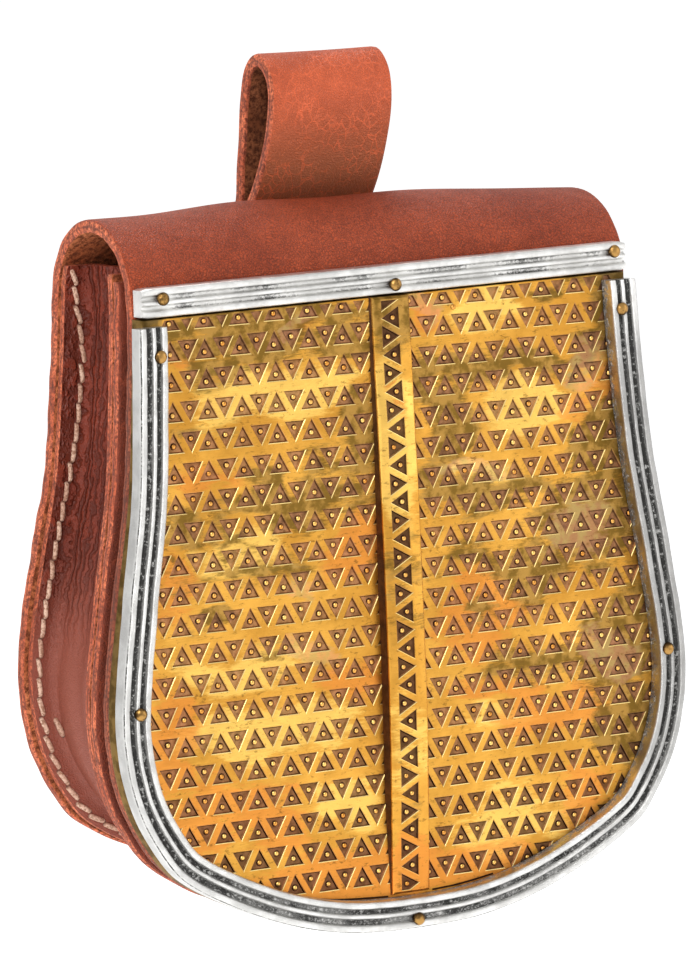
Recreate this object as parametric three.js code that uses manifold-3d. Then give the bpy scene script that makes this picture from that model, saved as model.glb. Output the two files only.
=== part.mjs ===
// A leather belt pouch with a metal-clad flap. Millimetres, +X to the right, +Y to the wearer, +Z up.
// The origin is under the top of the belt loop, where the belt carries the pouch.
import * as THREE from "three";
import { mergeVertices } from "three/addons/utils/BufferGeometryUtils.js";
import Module from "manifold-3d";

const wasm = await Module();
wasm.setup();

// Driving dimensions
const SAME_POINT = 1e-4; // points closer than this are one
const GAP = 0.3; // between pieces that lie on each other
const LEATHER = 2.8; // back, flap, front panel and belt loop
const SOFT_LEATHER = 1.8; // gusset
const HANG = 186; // from the belt down to the lowest point of the pouch
const BACK_FACE = 9.8; // rear face of the back panel
const FLAP_TOE = -36.5; // face of the metal sheet at the flap's lowest point
const FLAP_LEAN = THREE.MathUtils.degToRad(3); // the flap's foot stands forward of its top
const ARCH_RISE = 138.3; // where the back panel starts to bend over to the front
const ARCH_SWELL = 1.6; // how much higher the arch is in the middle than at its ends
const BACK_LIFT = 5; // how much higher the back panel ends than the flap
const LIFT_WHOLE = 55; // up to this rise the back panel has its whole lift
const LIFT_NONE = 110; // from this rise on it has none
const TOP_TILT = 0.0165; // rise of the bar and of the metal below it, for each millimetre to the right

// Half of the outline that every panel shares, from its lowest point upwards
const OUTLINE = [
  { rise: 0, half: 0 },
  { rise: 1.2, half: 19 },
  { rise: 6.2, half: 37 },
  { rise: 15.2, half: 55.2 },
  { rise: 23.2, half: 63 },
  { rise: 36.2, half: 69.2 },
  { rise: 53.2, half: 71.2 },
  { rise: 77.2, half: 68 },
  { rise: 99.2, half: 64.3 },
  { rise: 120.2, half: 62.6 },
  { rise: ARCH_RISE, half: 61.6 },
];
const SHORTEST_STEP = 1; // between the last two points at an upper end
const OUTLINE_STEPS = 61; // an odd count leaves a short level run at the bottom
const ARCH_STEPS = 14;
const PANEL_COLUMNS = 8;

// Depths behind the face of the metal sheet, square to the flap
const SHEET_METAL = 0.8;
const SHEET_RIM = 3.2;
const SHEET_INSET = 0.5;
const SHEET_TOP = 138; // in the middle
const FLAP_FACE = SHEET_RIM + GAP;
const FLAP_INSET = 0.4;
const PANEL_FACE = 9.6;
const PANEL_INSET = 0.6;
const PANEL_TOP = 144.6;
const GUSSET_FACE = PANEL_FACE + LEATHER + GAP + SOFT_LEATHER; // seen side of the front flange

// Gusset: flanges turned outwards onto the back and the front panel, and a web sunk between them
const GUSSET_TOP = 145.2;
const FLANGE_EDGE = 0.8;
const GUSSET_SECTION = [
  { inset: FLANGE_EDGE, fromBack: 0, share: 0 },
  { inset: 5.2, fromBack: 0, share: 0 },
  { inset: 7, fromBack: 1.4, share: 0 },
  { inset: 7.6, fromBack: 4.5, share: 0 },
  { inset: 9, fromBack: 0, share: 0.36 },
  { inset: 8, fromBack: 0, share: 0.5 },
  { inset: 9, fromBack: 0, share: 0.64 },
  { inset: 7.6, fromBack: -4.5, share: 1 },
  { inset: 7, fromBack: -1.4, share: 1 },
  { inset: 5.2, fromBack: 0, share: 1 },
  { inset: FLANGE_EDGE, fromBack: 0, share: 1 },
];
const GUSSET_DEEPEST = Math.max(...GUSSET_SECTION.map((row) => row.inset));

// Edge moulding: three ridges and two grooves, as a section from its outer side to its inner side
const MOULDING_TOP = 136.5;
const ARM_SPREAD = 1.7; // how far the left arm stands out at its top
const ARM_FOOT = 60; // where that starts
const MOULDING_SECTION = [
  { inset: 0, proud: GAP },
  { inset: 0, proud: 3.4 },
  { inset: 0.5, proud: 4 },
  { inset: 1.5, proud: 4 },
  { inset: 1.9, proud: 3.2 },
  { inset: 2.7, proud: 3.2 },
  { inset: 3.1, proud: 4 },
  { inset: 3.9, proud: 4 },
  { inset: 4.3, proud: 3.2 },
  { inset: 4.9, proud: 3.2 },
  { inset: 5.3, proud: 4 },
  { inset: 6.4, proud: 4 },
  { inset: 6.8, proud: 3.5 },
  { inset: 6.8, proud: GAP },
];

// Top bar: the same ridges along a straight bar that lies on the leather above the metal sheet
const BAR_HALF = 61;
const BAR_FOOT = SHEET_TOP + GAP;
const BAR_HEIGHT = 6.3;
const BAR_SECTION = [
  { up: 0, proud: -SHEET_RIM },
  { up: 0, proud: 0.6 },
  { up: 0.4, proud: 1 },
  { up: 1.4, proud: 1 },
  { up: 1.7, proud: 0.4 },
  { up: 2.5, proud: 0.4 },
  { up: 2.8, proud: 1 },
  { up: 3.5, proud: 1 },
  { up: 3.8, proud: 0.4 },
  { up: 4.6, proud: 0.4 },
  { up: 4.9, proud: 1 },
  { up: 5.9, proud: 1 },
  { up: BAR_HEIGHT, proud: 0.6 },
  { up: BAR_HEIGHT, proud: -SHEET_RIM },
];

// Centre strip: a folded channel that stands highest below its middle
const STRIP_HALF = 4.75;
const STRIP_FOOT = 7.4;
const STRIP_METAL = 0.6;
const STRIP_STEPS = 14;
const STRIP_LEAST = 1; // its height at both ends
const STRIP_MOST = 2.9;
const STRIP_PEAK = 0.38; // where it is highest, as a share of its length

// Belt loop: the middle line of the strap, from its inner tail over the top to its outer tail
const STRAP_WIDTH = 30.5;
const STRAP_STEPS = 44;
const STRAP_LINE = [
  { y: 11.5, z: -78 },
  { y: 11.5, z: -49 },
  { y: 11.3, z: -42.8 },
  { y: 8, z: -34.8 },
  { y: 2.7, z: -28.8 },
  { y: -3.2, z: -17.3 },
  { y: -5.5, z: -7.8 },
  { y: -4.5, z: -1.8 },
  { y: 0, z: LEATHER / 2 },
  { y: 4.5, z: -1.3 },
  { y: 6.5, z: -7.8 },
  { y: 7.9, z: -18.8 },
  { y: 8.8, z: -29.3 },
  { y: 11.4, z: -34.2 },
  { y: 13.6, z: -39 },
  { y: 14.6, z: -43.6 },
  { y: 14.7, z: -49 },
  { y: 14.7, z: -60 },
  { y: 14.7, z: -84 },
];

// Rivets: domed heads outside, a shank through metal and leather, and a burr inside the flap
const RIVET_HEAD = 1.45;
const RIVET_DOME = 0.9;
const RIVET_SHOULDER = 1.15;
const RIVET_CHEEK = 0.55;
const RIVET_SHANK = 0.6;
const RIVET_BURR = 1.3;
const BURR_HEIGHT = 0.6;
const RIVET_SIDES = 10;
const MOULDING_PROUD = 4;
const BAR_PROUD = 1;
const RIVETS = [
  { name: "rivet_bar_left", x: -56.1, rise: 141.3, proud: BAR_PROUD },
  { name: "rivet_bar_middle", x: 1.3, rise: 140.3, proud: BAR_PROUD },
  { name: "rivet_bar_right", x: 57.9, rise: 143.6, proud: BAR_PROUD },
  { name: "rivet_upper_left", x: -58.9, rise: 129.4, proud: MOULDING_PROUD },
  { name: "rivet_upper_right", x: 57.5, rise: 131.1, proud: MOULDING_PROUD },
  { name: "rivet_side_left", x: -67.1, rise: 54.2, proud: MOULDING_PROUD },
  { name: "rivet_side_right", x: 66.9, rise: 54.6, proud: MOULDING_PROUD },
  { name: "rivet_bottom", x: -0.3, rise: 2.1, proud: MOULDING_PROUD },
];

// Finishes
const leather = new THREE.MeshStandardMaterial({ color: 0xa04a30, roughness: 0.55 });
const soft = new THREE.MeshStandardMaterial({ color: 0x6e3026, roughness: 0.5 });
const brass = new THREE.MeshStandardMaterial({ color: 0xc89440, roughness: 0.35, metalness: 1 });
const silver = new THREE.MeshStandardMaterial({ color: 0xd4d6d8, roughness: 0.25, metalness: 1 });

const pouch = new THREE.Group();
const flapFace = new THREE.Group(); // lies in the face of the flap: x, depth behind the sheet, rise
flapFace.position.set(0, FLAP_TOE, -HANG);
flapFace.rotation.x = -FLAP_LEAN;
flapFace.updateMatrix();
pouch.add(flapFace);

function add(parent, name, geometry, material) {
  const mesh = new THREE.Mesh(geometry, material);
  mesh.name = name;
  parent.add(mesh);
}

// A point given in the face of the flap, in the frame of the pouch
function onFlap(x, depth, rise) {
  return new THREE.Vector3(x, depth, rise).applyMatrix4(flapFace.matrix);
}

// An open line moved sideways, to its left for a positive distance, with mitred corners
function offsetLine(points, distance) {
  const left = points.slice(1).map((p, i) => {
    const along = p.clone().sub(points[i]).normalize();
    return new THREE.Vector2(-along.y, along.x);
  });
  return points.map((p, i) => {
    const before = left[Math.max(i - 1, 0)];
    const after = left[Math.min(i, left.length - 1)];
    const middle = before.clone().add(after).normalize();
    return p.clone().addScaledVector(middle, distance / middle.dot(after));
  });
}

// A closed wall between two grids of points that run side by side
function wall(outer, inner) {
  const rows = outer.length;
  const columns = outer[0].length;
  const points = [...outer.flat(), ...inner.flat()];
  const back = rows * columns;
  const at = (i, j) => i * columns + j;
  const faces = [];
  const quad = (a, b, c, d) => faces.push(a, b, c, a, c, d);
  for (let i = 0; i < rows - 1; i++)
    for (let j = 0; j < columns - 1; j++) {
      const [a, b, c, d] = [at(i, j), at(i, j + 1), at(i + 1, j + 1), at(i + 1, j)];
      quad(a, b, c, d);
      quad(back + a, back + d, back + c, back + b);
    }
  const rim = [];
  for (let j = 0; j < columns - 1; j++) rim.push(at(0, j));
  for (let i = 0; i < rows - 1; i++) rim.push(at(i, columns - 1));
  for (let j = columns - 1; j > 0; j--) rim.push(at(rows - 1, j));
  for (let i = rows - 1; i > 0; i--) rim.push(at(i, 0));
  rim.forEach((a, k) => {
    const b = rim[(k + 1) % rim.length];
    quad(a, back + a, back + b, b);
  });
  return facingOut(points, faces);
}

// A solid swept along stations, each a closed ring of points, with flat ends
function sweep(rings) {
  const sides = rings[0].length;
  const faces = [];
  rings.slice(1).forEach((_, i) => {
    for (let j = 0; j < sides; j++) {
      const [a, b] = [i * sides + j, i * sides + ((j + 1) % sides)];
      faces.push(a, b, b + sides, a, b + sides, a + sides);
    }
  });
  const flat = rings[0].map((p) => p.flat);
  const last = (rings.length - 1) * sides;
  for (const [a, b, c] of THREE.ShapeUtils.triangulateShape(flat, [])) {
    const turned = THREE.ShapeUtils.isClockWise(flat);
    faces.push(...(turned ? [a, b, c] : [a, c, b]));
    faces.push(...(turned ? [last + a, last + c, last + b] : [last + a, last + b, last + c]));
  }
  return facingOut(rings.flat().map((p) => p.place), faces);
}

// Faces are turned as a whole so that the closed surface holds a positive volume
function facingOut(points, faces) {
  let volume = 0;
  for (let i = 0; i < faces.length; i += 3) {
    const [a, b, c] = [points[faces[i]], points[faces[i + 1]], points[faces[i + 2]]];
    volume += a.dot(b.clone().cross(c));
  }
  const index = volume > 0 ? faces : faces.toReversed();
  return new THREE.BufferGeometry().setFromPoints(points).setIndex(index);
}

function solidOf(geometry) {
  const bare = geometry.clone();
  bare.deleteAttribute("normal");
  bare.deleteAttribute("uv");
  const merged = mergeVertices(bare, SAME_POINT);
  const vertProperties = merged.attributes.position.array;
  const triVerts = new Uint32Array(merged.index.array);
  return new wasm.Manifold(new wasm.Mesh({ numProp: 3, vertProperties, triVerts }));
}

function geometryOf(solid) {
  const mesh = solid.getMesh();
  return new THREE.BufferGeometry()
    .setAttribute("position", new THREE.BufferAttribute(mesh.vertProperties, 3))
    .setIndex(new THREE.BufferAttribute(mesh.triVerts, 1));
}

function drilled(geometry, holes) {
  return geometryOf(holes.reduce((solid, hole) => solid.subtract(hole), solidOf(geometry)));
}

// The whole outline from its upper left end round the bottom to its upper right end
const halfPoints = OUTLINE.map((row) => new THREE.Vector2(row.half, row.rise));
const mirrored = halfPoints.slice(1).map((p) => new THREE.Vector2(-p.x, p.y));
const outlineCurve = new THREE.SplineCurve([...mirrored.reverse(), ...halfPoints]);
const outlinePoints = outlineCurve.getSpacedPoints(OUTLINE_STEPS);

// The outline moved inwards, cut or lengthened straight up to a given height, which may rise to the right
function outline(inset, top, tilt = 0) {
  const line = offsetLine(outlinePoints, inset).filter((p) => p.y < top + tilt * p.x - SHORTEST_STEP);
  const ends = [line[0], line.at(-1)].map((p) => new THREE.Vector2(p.x, top + tilt * p.x));
  return [ends[0], ...line, ends[1]];
}

// Rows of points across a panel, from the bottom up
function panelRows(inset, top, place) {
  const line = outline(inset, top);
  const right = line.slice(line.length / 2);
  return right.map((p) => acrossPanel((share) => place(p.x * share, p.y)));
}

function acrossPanel(place) {
  return Array.from({ length: PANEL_COLUMNS + 1 }, (_, j) => place((2 * j) / PANEL_COLUMNS - 1));
}

// The arch over the top touches both the back panel and the plane of the flap
const backFromToe = (BACK_FACE - FLAP_TOE) * Math.cos(FLAP_LEAN);
const archReach = backFromToe - ARCH_RISE * Math.sin(FLAP_LEAN) - FLAP_FACE;
const ARCH_RADIUS = archReach / (1 + Math.cos(FLAP_LEAN));
const archCentre = new THREE.Vector2(BACK_FACE - ARCH_RADIUS, ARCH_RISE - HANG);

function archRows(radius, half) {
  return Array.from({ length: ARCH_STEPS + 1 }, (_, i) => {
    const turn = ((Math.PI - FLAP_LEAN) * i) / ARCH_STEPS;
    return acrossPanel((share) => {
      const swell = ARCH_SWELL * (1 - share * share);
      const y = archCentre.x + radius * Math.cos(turn);
      const z = archCentre.y + (radius + swell) * Math.sin(turn);
      return new THREE.Vector3(half * share, y, z);
    });
  });
}

// How much higher the back panel is than the flap, at a rise of the shared outline
function backLift(rise) {
  return BACK_LIFT * (1 - THREE.MathUtils.smoothstep(rise, LIFT_WHOLE, LIFT_NONE));
}

function backAndFlap(holes) {
  const side = (thickness) => {
    const back = panelRows(FLAP_INSET, ARCH_RISE - SHORTEST_STEP, (x, rise) => {
      return new THREE.Vector3(x, BACK_FACE - thickness, rise + backLift(rise) - HANG);
    });
    const flap = panelRows(FLAP_INSET, ARCH_RISE, (x, rise) => onFlap(x, FLAP_FACE + thickness, rise));
    const arch = archRows(ARCH_RADIUS - thickness, OUTLINE.at(-1).half - FLAP_INSET);
    return [...back, ...arch, ...flap.reverse()];
  };
  return drilled(wall(side(0), side(LEATHER)), holes);
}

function frontPanel() {
  const side = (depth) => panelRows(PANEL_INSET, PANEL_TOP, (x, rise) => onFlap(x, depth, rise));
  return wall(side(PANEL_FACE), side(PANEL_FACE + LEATHER));
}

// Front face of the back panel at a height, which bends forward where the arch starts
function backInside(z) {
  const up = Math.max(z - archCentre.y, 0);
  return archCentre.x + Math.sqrt((ARCH_RADIUS - LEATHER) ** 2 - up * up);
}

function gusset() {
  const seen = [];
  const hidden = [];
  const edge = outline(FLANGE_EDGE, GUSSET_TOP);
  const deepest = outline(GUSSET_DEEPEST, GUSSET_TOP);
  edge.forEach((foot, i) => {
    const rear = backInside(foot.y - HANG) - GAP - SOFT_LEATHER;
    const front = onFlap(foot.x, GUSSET_FACE, foot.y).y;
    const section = GUSSET_SECTION.map((row) => {
      const y = THREE.MathUtils.lerp(rear, front, row.share) - row.fromBack;
      return new THREE.Vector2(row.inset, y);
    });
    const inward = deepest[i].clone().sub(foot).normalize();
    const place = (p) => {
      const reach = p.x - FLANGE_EDGE;
      const share = THREE.MathUtils.clamp((p.y - rear) / (front - rear), 0, 1);
      const rise = foot.y + inward.y * reach + backLift(foot.y) * (1 - share);
      return new THREE.Vector3(foot.x + inward.x * reach, p.y, rise - HANG);
    };
    seen.push(section.map(place));
    hidden.push(offsetLine(section, SOFT_LEATHER).map(place));
  });
  return wall(seen, hidden);
}

function beltLoop() {
  const controls = STRAP_LINE.map((p) => new THREE.Vector2(p.y, p.z));
  const middle = new THREE.SplineCurve(controls).getSpacedPoints(STRAP_STEPS);
  const side = (distance) =>
    offsetLine(middle, distance).map((p) =>
      [-STRAP_WIDTH / 2, STRAP_WIDTH / 2].map((x) => new THREE.Vector3(x, p.x, p.y)),
    );
  return wall(side(LEATHER / 2), side(-LEATHER / 2));
}

// A prism between two depths behind the face of the flap
function flapPrism(inset, top, from, to) {
  const shape = new THREE.Shape(outline(inset, top, TOP_TILT));
  const prism = new THREE.ExtrudeGeometry(shape, { depth: to - from, bevelEnabled: false });
  return prism.rotateX(Math.PI / 2).translate(0, to, 0);
}

function metalSheet(holes) {
  const whole = flapPrism(SHEET_INSET, SHEET_TOP, 0, SHEET_RIM);
  const innerTop = SHEET_TOP - SHEET_METAL;
  const hollow = flapPrism(SHEET_INSET + SHEET_METAL, innerTop, SHEET_METAL, SHEET_RIM + GAP);
  return drilled(whole, [solidOf(hollow), ...holes]);
}

function edgeMoulding(holes) {
  const lines = MOULDING_SECTION.map((row) => outline(row.inset, MOULDING_TOP, TOP_TILT));
  const spread = (p) => {
    const up = Math.max(p.y - ARM_FOOT, 0) / (MOULDING_TOP - ARM_FOOT);
    return p.x < 0 ? ARM_SPREAD * up : 0;
  };
  const rings = lines[0].map((_, i) =>
    MOULDING_SECTION.map((row, j) => ({
      flat: new THREE.Vector2(row.inset, row.proud),
      place: new THREE.Vector3(lines[j][i].x - spread(lines[j][i]), -row.proud, lines[j][i].y),
    })),
  );
  return drilled(sweep(rings), holes);
}

function topBar(holes) {
  const rings = [-BAR_HALF, BAR_HALF].map((x) =>
    BAR_SECTION.map((row) => ({
      flat: new THREE.Vector2(row.up, row.proud),
      place: new THREE.Vector3(x, -row.proud, BAR_FOOT + TOP_TILT * x + row.up),
    })),
  );
  return drilled(sweep(rings), holes);
}

function centreStrip() {
  const length = BAR_FOOT - GAP - STRIP_FOOT;
  const side = (thickness) =>
    Array.from({ length: STRIP_STEPS + 1 }, (_, i) => {
      const share = i / STRIP_STEPS;
      const arc = share < STRIP_PEAK ? share / STRIP_PEAK : (1 - share) / (1 - STRIP_PEAK);
      const height = STRIP_LEAST + (STRIP_MOST - STRIP_LEAST) * Math.sin((arc * Math.PI) / 2);
      const half = STRIP_HALF - thickness;
      const face = -GAP - height + thickness;
      const foot = [-half, -half, half, half];
      const depth = [-GAP, face, face, -GAP];
      return foot.map((x, j) => new THREE.Vector3(x, depth[j], STRIP_FOOT + length * share));
    });
  return wall(side(0), side(STRIP_METAL));
}

// How far the inner face of the leather has bent away from the flap's plane at a rise
function bentAway(rise) {
  const up = Math.max(rise - ARCH_RISE, 0);
  const radius = ARCH_RADIUS - LEATHER;
  return radius - Math.sqrt(radius ** 2 - up ** 2);
}

// A rivet turned about its own axis, then laid along the way through the flap
function rivet({ rise, proud }) {
  const inside = FLAP_FACE + LEATHER + GAP + bentAway(rise + RIVET_BURR);
  const seat = proud + GAP / 2;
  const profile = [
    [0, -inside - BURR_HEIGHT],
    [RIVET_BURR, -inside - BURR_HEIGHT],
    [RIVET_BURR, -inside],
    [RIVET_SHANK, -inside],
    [RIVET_SHANK, seat],
    [RIVET_HEAD, seat],
    [RIVET_SHOULDER, seat + RIVET_CHEEK],
    [0, seat + RIVET_DOME],
  ].map(([radius, height]) => new THREE.Vector2(radius, height));
  return new THREE.LatheGeometry(profile, RIVET_SIDES).rotateX(Math.PI);
}

// Holes for the shanks, in the frame of the flap's face or of the pouch
function shankHoles(rows, inPouch) {
  const length = 4 * (FLAP_FACE + LEATHER);
  return rows.map((row) => {
    const hole = new THREE.CylinderGeometry(RIVET_SHANK + GAP, RIVET_SHANK + GAP, length, RIVET_SIDES);
    hole.translate(row.x, 0, row.rise);
    return solidOf(inPouch ? hole.applyMatrix4(flapFace.matrix) : hole);
  });
}

const barRivets = RIVETS.filter((row) => row.proud === BAR_PROUD);
const mouldingRivets = RIVETS.filter((row) => row.proud === MOULDING_PROUD);

add(pouch, "back_and_flap", backAndFlap(shankHoles(RIVETS, true)), leather);
add(pouch, "front_panel", frontPanel(), leather);
add(pouch, "gusset", gusset(), soft);
add(pouch, "belt_loop", beltLoop(), leather);
add(flapFace, "brass_sheet", metalSheet(shankHoles(mouldingRivets)), brass);
add(flapFace, "centre_strip", centreStrip(), brass);
add(flapFace, "edge_moulding", edgeMoulding(shankHoles(mouldingRivets)), silver);
add(flapFace, "top_bar", topBar(shankHoles(barRivets)), silver);
for (const row of RIVETS) {
  const head = rivet(row).translate(row.x, 0, row.rise);
  add(flapFace, row.name, head, brass);
}

export default pouch;
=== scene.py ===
import math

import bpy
import numpy as np
from mathutils import Matrix, Vector
from mathutils.geometry import delaunay_2d_cdt


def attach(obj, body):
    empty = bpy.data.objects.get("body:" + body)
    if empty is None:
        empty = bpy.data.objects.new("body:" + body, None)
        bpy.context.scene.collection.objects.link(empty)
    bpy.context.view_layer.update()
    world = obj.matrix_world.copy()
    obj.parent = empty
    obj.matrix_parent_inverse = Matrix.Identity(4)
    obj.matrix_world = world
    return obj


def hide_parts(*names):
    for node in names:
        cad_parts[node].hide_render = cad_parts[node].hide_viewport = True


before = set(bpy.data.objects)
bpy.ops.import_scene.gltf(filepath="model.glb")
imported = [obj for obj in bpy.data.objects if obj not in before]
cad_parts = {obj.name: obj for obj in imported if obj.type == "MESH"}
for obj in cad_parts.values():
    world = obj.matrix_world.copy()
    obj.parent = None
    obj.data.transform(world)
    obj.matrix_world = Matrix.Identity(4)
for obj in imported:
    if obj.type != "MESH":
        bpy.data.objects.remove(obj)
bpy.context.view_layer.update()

# Sizes are in millimetres and become metres as each mesh is made.
# +X is to the right, +Y to the wearer, +Z up, and the belt runs through the origin.
MM = 0.001
GAP = 0.3
LEATHER = 2.8
SOFT_LEATHER = 1.8
HANG = 186.0  # from the origin down to the lowest point of the outline
BACK_FACE = 9.8
FLAP_TOE = -36.5
FLAP_LEAN = math.radians(3)
ARCH_RISE = 138.3
ARCH_SWELL = 1.6
ARCH_RIGHT = 2.2  # how far the arch stands out at its right end, above the flap
BACK_LEFT = 0.9  # how far the back panel stands out at its left edge
BACK_LIFT = 5.0  # how much higher the back panel ends than the flap
LIFT_WHOLE = 55.0
LIFT_NONE = 110.0
TOP_TILT = 0.0165  # rise of the bar and of the metal below it, for each millimetre to the right

OUTLINE_STEP = 1.5
# Half of the outline that every panel shares, from its lowest point upwards: rise, half width
OUTLINE = [
    (0, 0), (1.2, 19), (6.2, 37), (15.2, 55.2), (23.2, 63), (36.2, 69.2), (53.2, 71.2), (77.2, 68),
    (99.2, 64.3), (120.2, 62.6), (ARCH_RISE, 61.6),
]
HIGHEST_EDGE = 152.0

# Depths behind the face of the brass sheet, square to the flap
SHEET_METAL = 0.8
SHEET_RIM = 3.2
SHEET_MESH = 2.6  # pitch of the points between its stamps
SHEET_INSET = 0.5
SHEET_TOP = 138.0
FLAP_FACE = SHEET_RIM + GAP
FLAP_INSET = 0.4
PANEL_FACE = 9.6
PANEL_INSET = 0.6
PANEL_TOP = 144.6
GUSSET_FACE = PANEL_FACE + LEATHER + GAP + SOFT_LEATHER
GUSSET_TOP = 145.2

# Gusset section: inset from the edge, distance in front of the rear flange, share of the way forward
GUSSET_SECTION = [
    (0.8, 0, 0), (3.2, 0, 0), (5.2, 0, 0), (7, 1.4, 0), (7.6, 4.5, 0), (8.7, 0, 0.36), (8.2, 0, 0.5),
    (8.7, 0, 0.64), (7.6, -4.5, 1), (7, -1.4, 1), (5.2, 0, 1), (3.2, 0, 1), (0.8, 0, 1),
]

# Edge moulding section: inset from the edge, height above the sheet, darkness: patina in the grooves,
# painted shade down the side walls to their foot
MOULDING_TOP = 136.5
ARM_SPREAD = 1.7  # how far the left arm stands out at its top
ARM_BELLY = 0.6  # how far the right arm stands out at half its height
ARM_FOOT = 60.0
MOULDING_SECTION = [
    (0, 0.1, 0.3), (0, 2.2, 0), (0, 3.45, 0.3), (0.2, 3.7, 1), (0.45, 4, 0), (1.45, 4, 0),
    (1.75, 3.3, 0.8), (2.05, 2.9, 1), (2.65, 2.9, 1), (2.95, 3.3, 0.8), (3.2, 3.9, 0),
    (3.85, 3.9, 0), (4.1, 3.3, 0.8), (4.35, 2.9, 1), (4.9, 2.9, 1), (5.15, 3.4, 0.7), (5.4, 4, 0),
    (6.4, 4, 0), (6.8, 3.5, 0.35), (6.8, 2, 0.6), (6.8, 0.1, 0.75),
]
BAR_HALF = 61.0
BAR_STATIONS = 110
BAR_FOOT = SHEET_TOP + GAP
# Top bar section: height up from its foot, height above the sheet, darkness: patina in the grooves, painted
# shade low on its lower and upper faces
BAR_SECTION = [
    (0, -SHEET_RIM, 0.3), (0, -1, 0.1), (0, 0.55, 0), (0.35, 1, 0), (1.4, 1, 0), (1.6, 0.45, 0.9),
    (1.85, 0.15, 0.75), (2.35, 0.15, 0.55), (2.6, 0.45, 0.85), (2.8, 0.95, 0), (3.5, 0.95, 0),
    (3.7, 0.45, 0.85), (3.95, 0.15, 0.6), (4.45, 0.15, 0.75), (4.7, 0.45, 0.9), (4.9, 1, 0),
    (5.95, 1, 0), (6.3, 0.55, 0), (6.3, -1, 0.1), (6.3, -SHEET_RIM, 0.3),
]

# Centre strip
STRIP_HALF = 4.75
STRIP_FOOT = 7.4
STRIP_LEAST = 1.0
STRIP_MOST = 2.9
STRIP_PEAK = 0.38  # share of the way up where the strip stands out most
STRIP_CROWN = 0.012  # how fast it falls away from its middle, with the square of x
STRIP_MESH = 2.2  # pitch of the points between its stamps
STRIP_STAMPS = 33
STRIP_STAMP_MIDDLE = -0.4
STRIP_STAMP_SWING = 0.72  # how far its pellets lie from there, to the left and right by turns

# Stamped triangles, each round its pellet
STAMP_BASE = 4.75
STAMP_HEIGHT = 4.25
STAMP_FOOT = 1.4
STAMP_DEPTH = 0.45
STAMP_PITCH = 8.5
STAMP_ROW = 6.59
STAMP_COLUMNS = 16
STAMP_ROWS = 20
STAMP_MIDDLE = 1.0
STAMP_LEVEL = 77.2
STAMP_LEVEL_ROW = 9  # the row that lies at that level
STAMP_SQUEEZE = 0.013  # share by which the rows are closer together at the left end
STAMP_REACH = 55.0
STRIP_STAMP_PITCH = 3.99
STRIP_STAMP_TOP = 137.2
# Profile of a pellet from its foot to its top: radius, height
PELLET_PROFILE = [(0.86, -0.1), (0.8, 0.03), (0.62, 0.0), (0.6, 0.16), (0.33, 0.4), (0, 0.47)]
PUNCH_MARK = (16.2, 134.3)  # one pellet struck beside the triangles
SCORES = [
    [(-27.2, 9.4), (-20.3, 8.2), (-12.7, 7.5), (-5.6, 7.1)],
    [(5.7, 7.3), (11.6, 7.6), (16.8, 8.2), (21.5, 8.9)],
]
SCORE_HALF = 0.2

# Belt loop: the middle line of the strap as y, z, from its inner tail over the top to its outer tail
STRAP_WIDTH = 30.5
STRAP_BEVEL = 0.9
STRAP_LINE = [
    (11.5, -78), (11.5, -49), (11.3, -42.8), (8, -34.8), (2.7, -28.8), (-3.2, -17.3), (-5.5, -7.8),
    (-4.5, -1.8), (0, LEATHER / 2), (4.5, -1.3), (6.5, -7.8), (7.9, -18.8), (8.8, -29.3),
    (11.4, -34.2), (13.6, -39), (14.6, -43.6), (14.7, -49), (14.7, -60), (14.7, -84),
]

# Rivets: node, x, rise, height of the metal under the head
BAR_PROUD = 1
RIVETS = [
    ("rivet_bar_left", -56.1, 141.3, BAR_PROUD),
    ("rivet_bar_middle", 1.3, 140.3, BAR_PROUD),
    ("rivet_bar_right", 57.9, 143.6, BAR_PROUD),
    ("rivet_upper_left", -58.9, 129.4, 4),
    ("rivet_upper_right", 57.5, 131.1, 4),
    ("rivet_side_left", -67.1, 54.2, 4),
    ("rivet_side_right", 66.9, 54.6, 4),
    ("rivet_bottom", -0.3, 2.1, 4),
]
# Profile of a rivet's head: radius, height
RIVET_HEAD = 1.45
RIVET_PROFILE = [(1.334, -0.7), (RIVET_HEAD, 0.08), (1.38, 0.3), (1.15, 0.58), (0.75, 0.8), (0, 0.9)]

# Stitches
STITCH_LENGTH = 4.9
STITCH_PITCH = 4.3
STITCH_THICK = 1.2
STITCH_SLANT = 0.16
FRONT_SEAM_INSET = 5.8
STRAY_STITCH = [(-64.16, 4.68, -141.4), (-64.06, 4.66, -141.8)]
STRAY_FACING = (-0.44, -0.89, -0.1)
# Rear seam: rise, inset from the edge
SEAM_INSET = [(5, 2.4), (30, 2.3), (52, 2.5), (75, 3.0), (95, 3.4), (112, 5.0), (126, 5.6), (143, 2.6)]
STRAP_BOX = [(-11, -52), (-11, -80), (11, -80), (11, -52), (-11, -52)]  # seam on the strap's tail: x, z


# Lines

def spline(points, steps):
    """A smooth line through points, with that many steps between each two."""
    knots = np.asarray(points, float)
    ends = np.vstack([knots[:1], knots, knots[-1:]])
    share = np.linspace(0, 1, steps, endpoint=False)[:, None]
    spans = []
    for before, a, b, after in zip(ends, ends[1:], ends[2:], ends[3:]):
        leave = (b - before) / 2
        arrive = (after - a) / 2
        bend = (2 * a - 2 * b + leave + arrive) * share**3
        spans.append(bend + (3 * b - 3 * a - 2 * leave - arrive) * share**2 + leave * share + a)
    return np.vstack([*spans, knots[-1:]])


def run_of(line):
    """Distance along a line to each of its points."""
    return np.concatenate([[0], np.cumsum(np.linalg.norm(np.diff(line, axis=0), axis=1))])


def at_places(values, run, places):
    return np.column_stack([np.interp(places, run, column) for column in values.T])


def resampled(line, step):
    run = run_of(line)
    return at_places(line, run, np.linspace(0, run[-1], max(2, round(run[-1] / step) + 1)))


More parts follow.
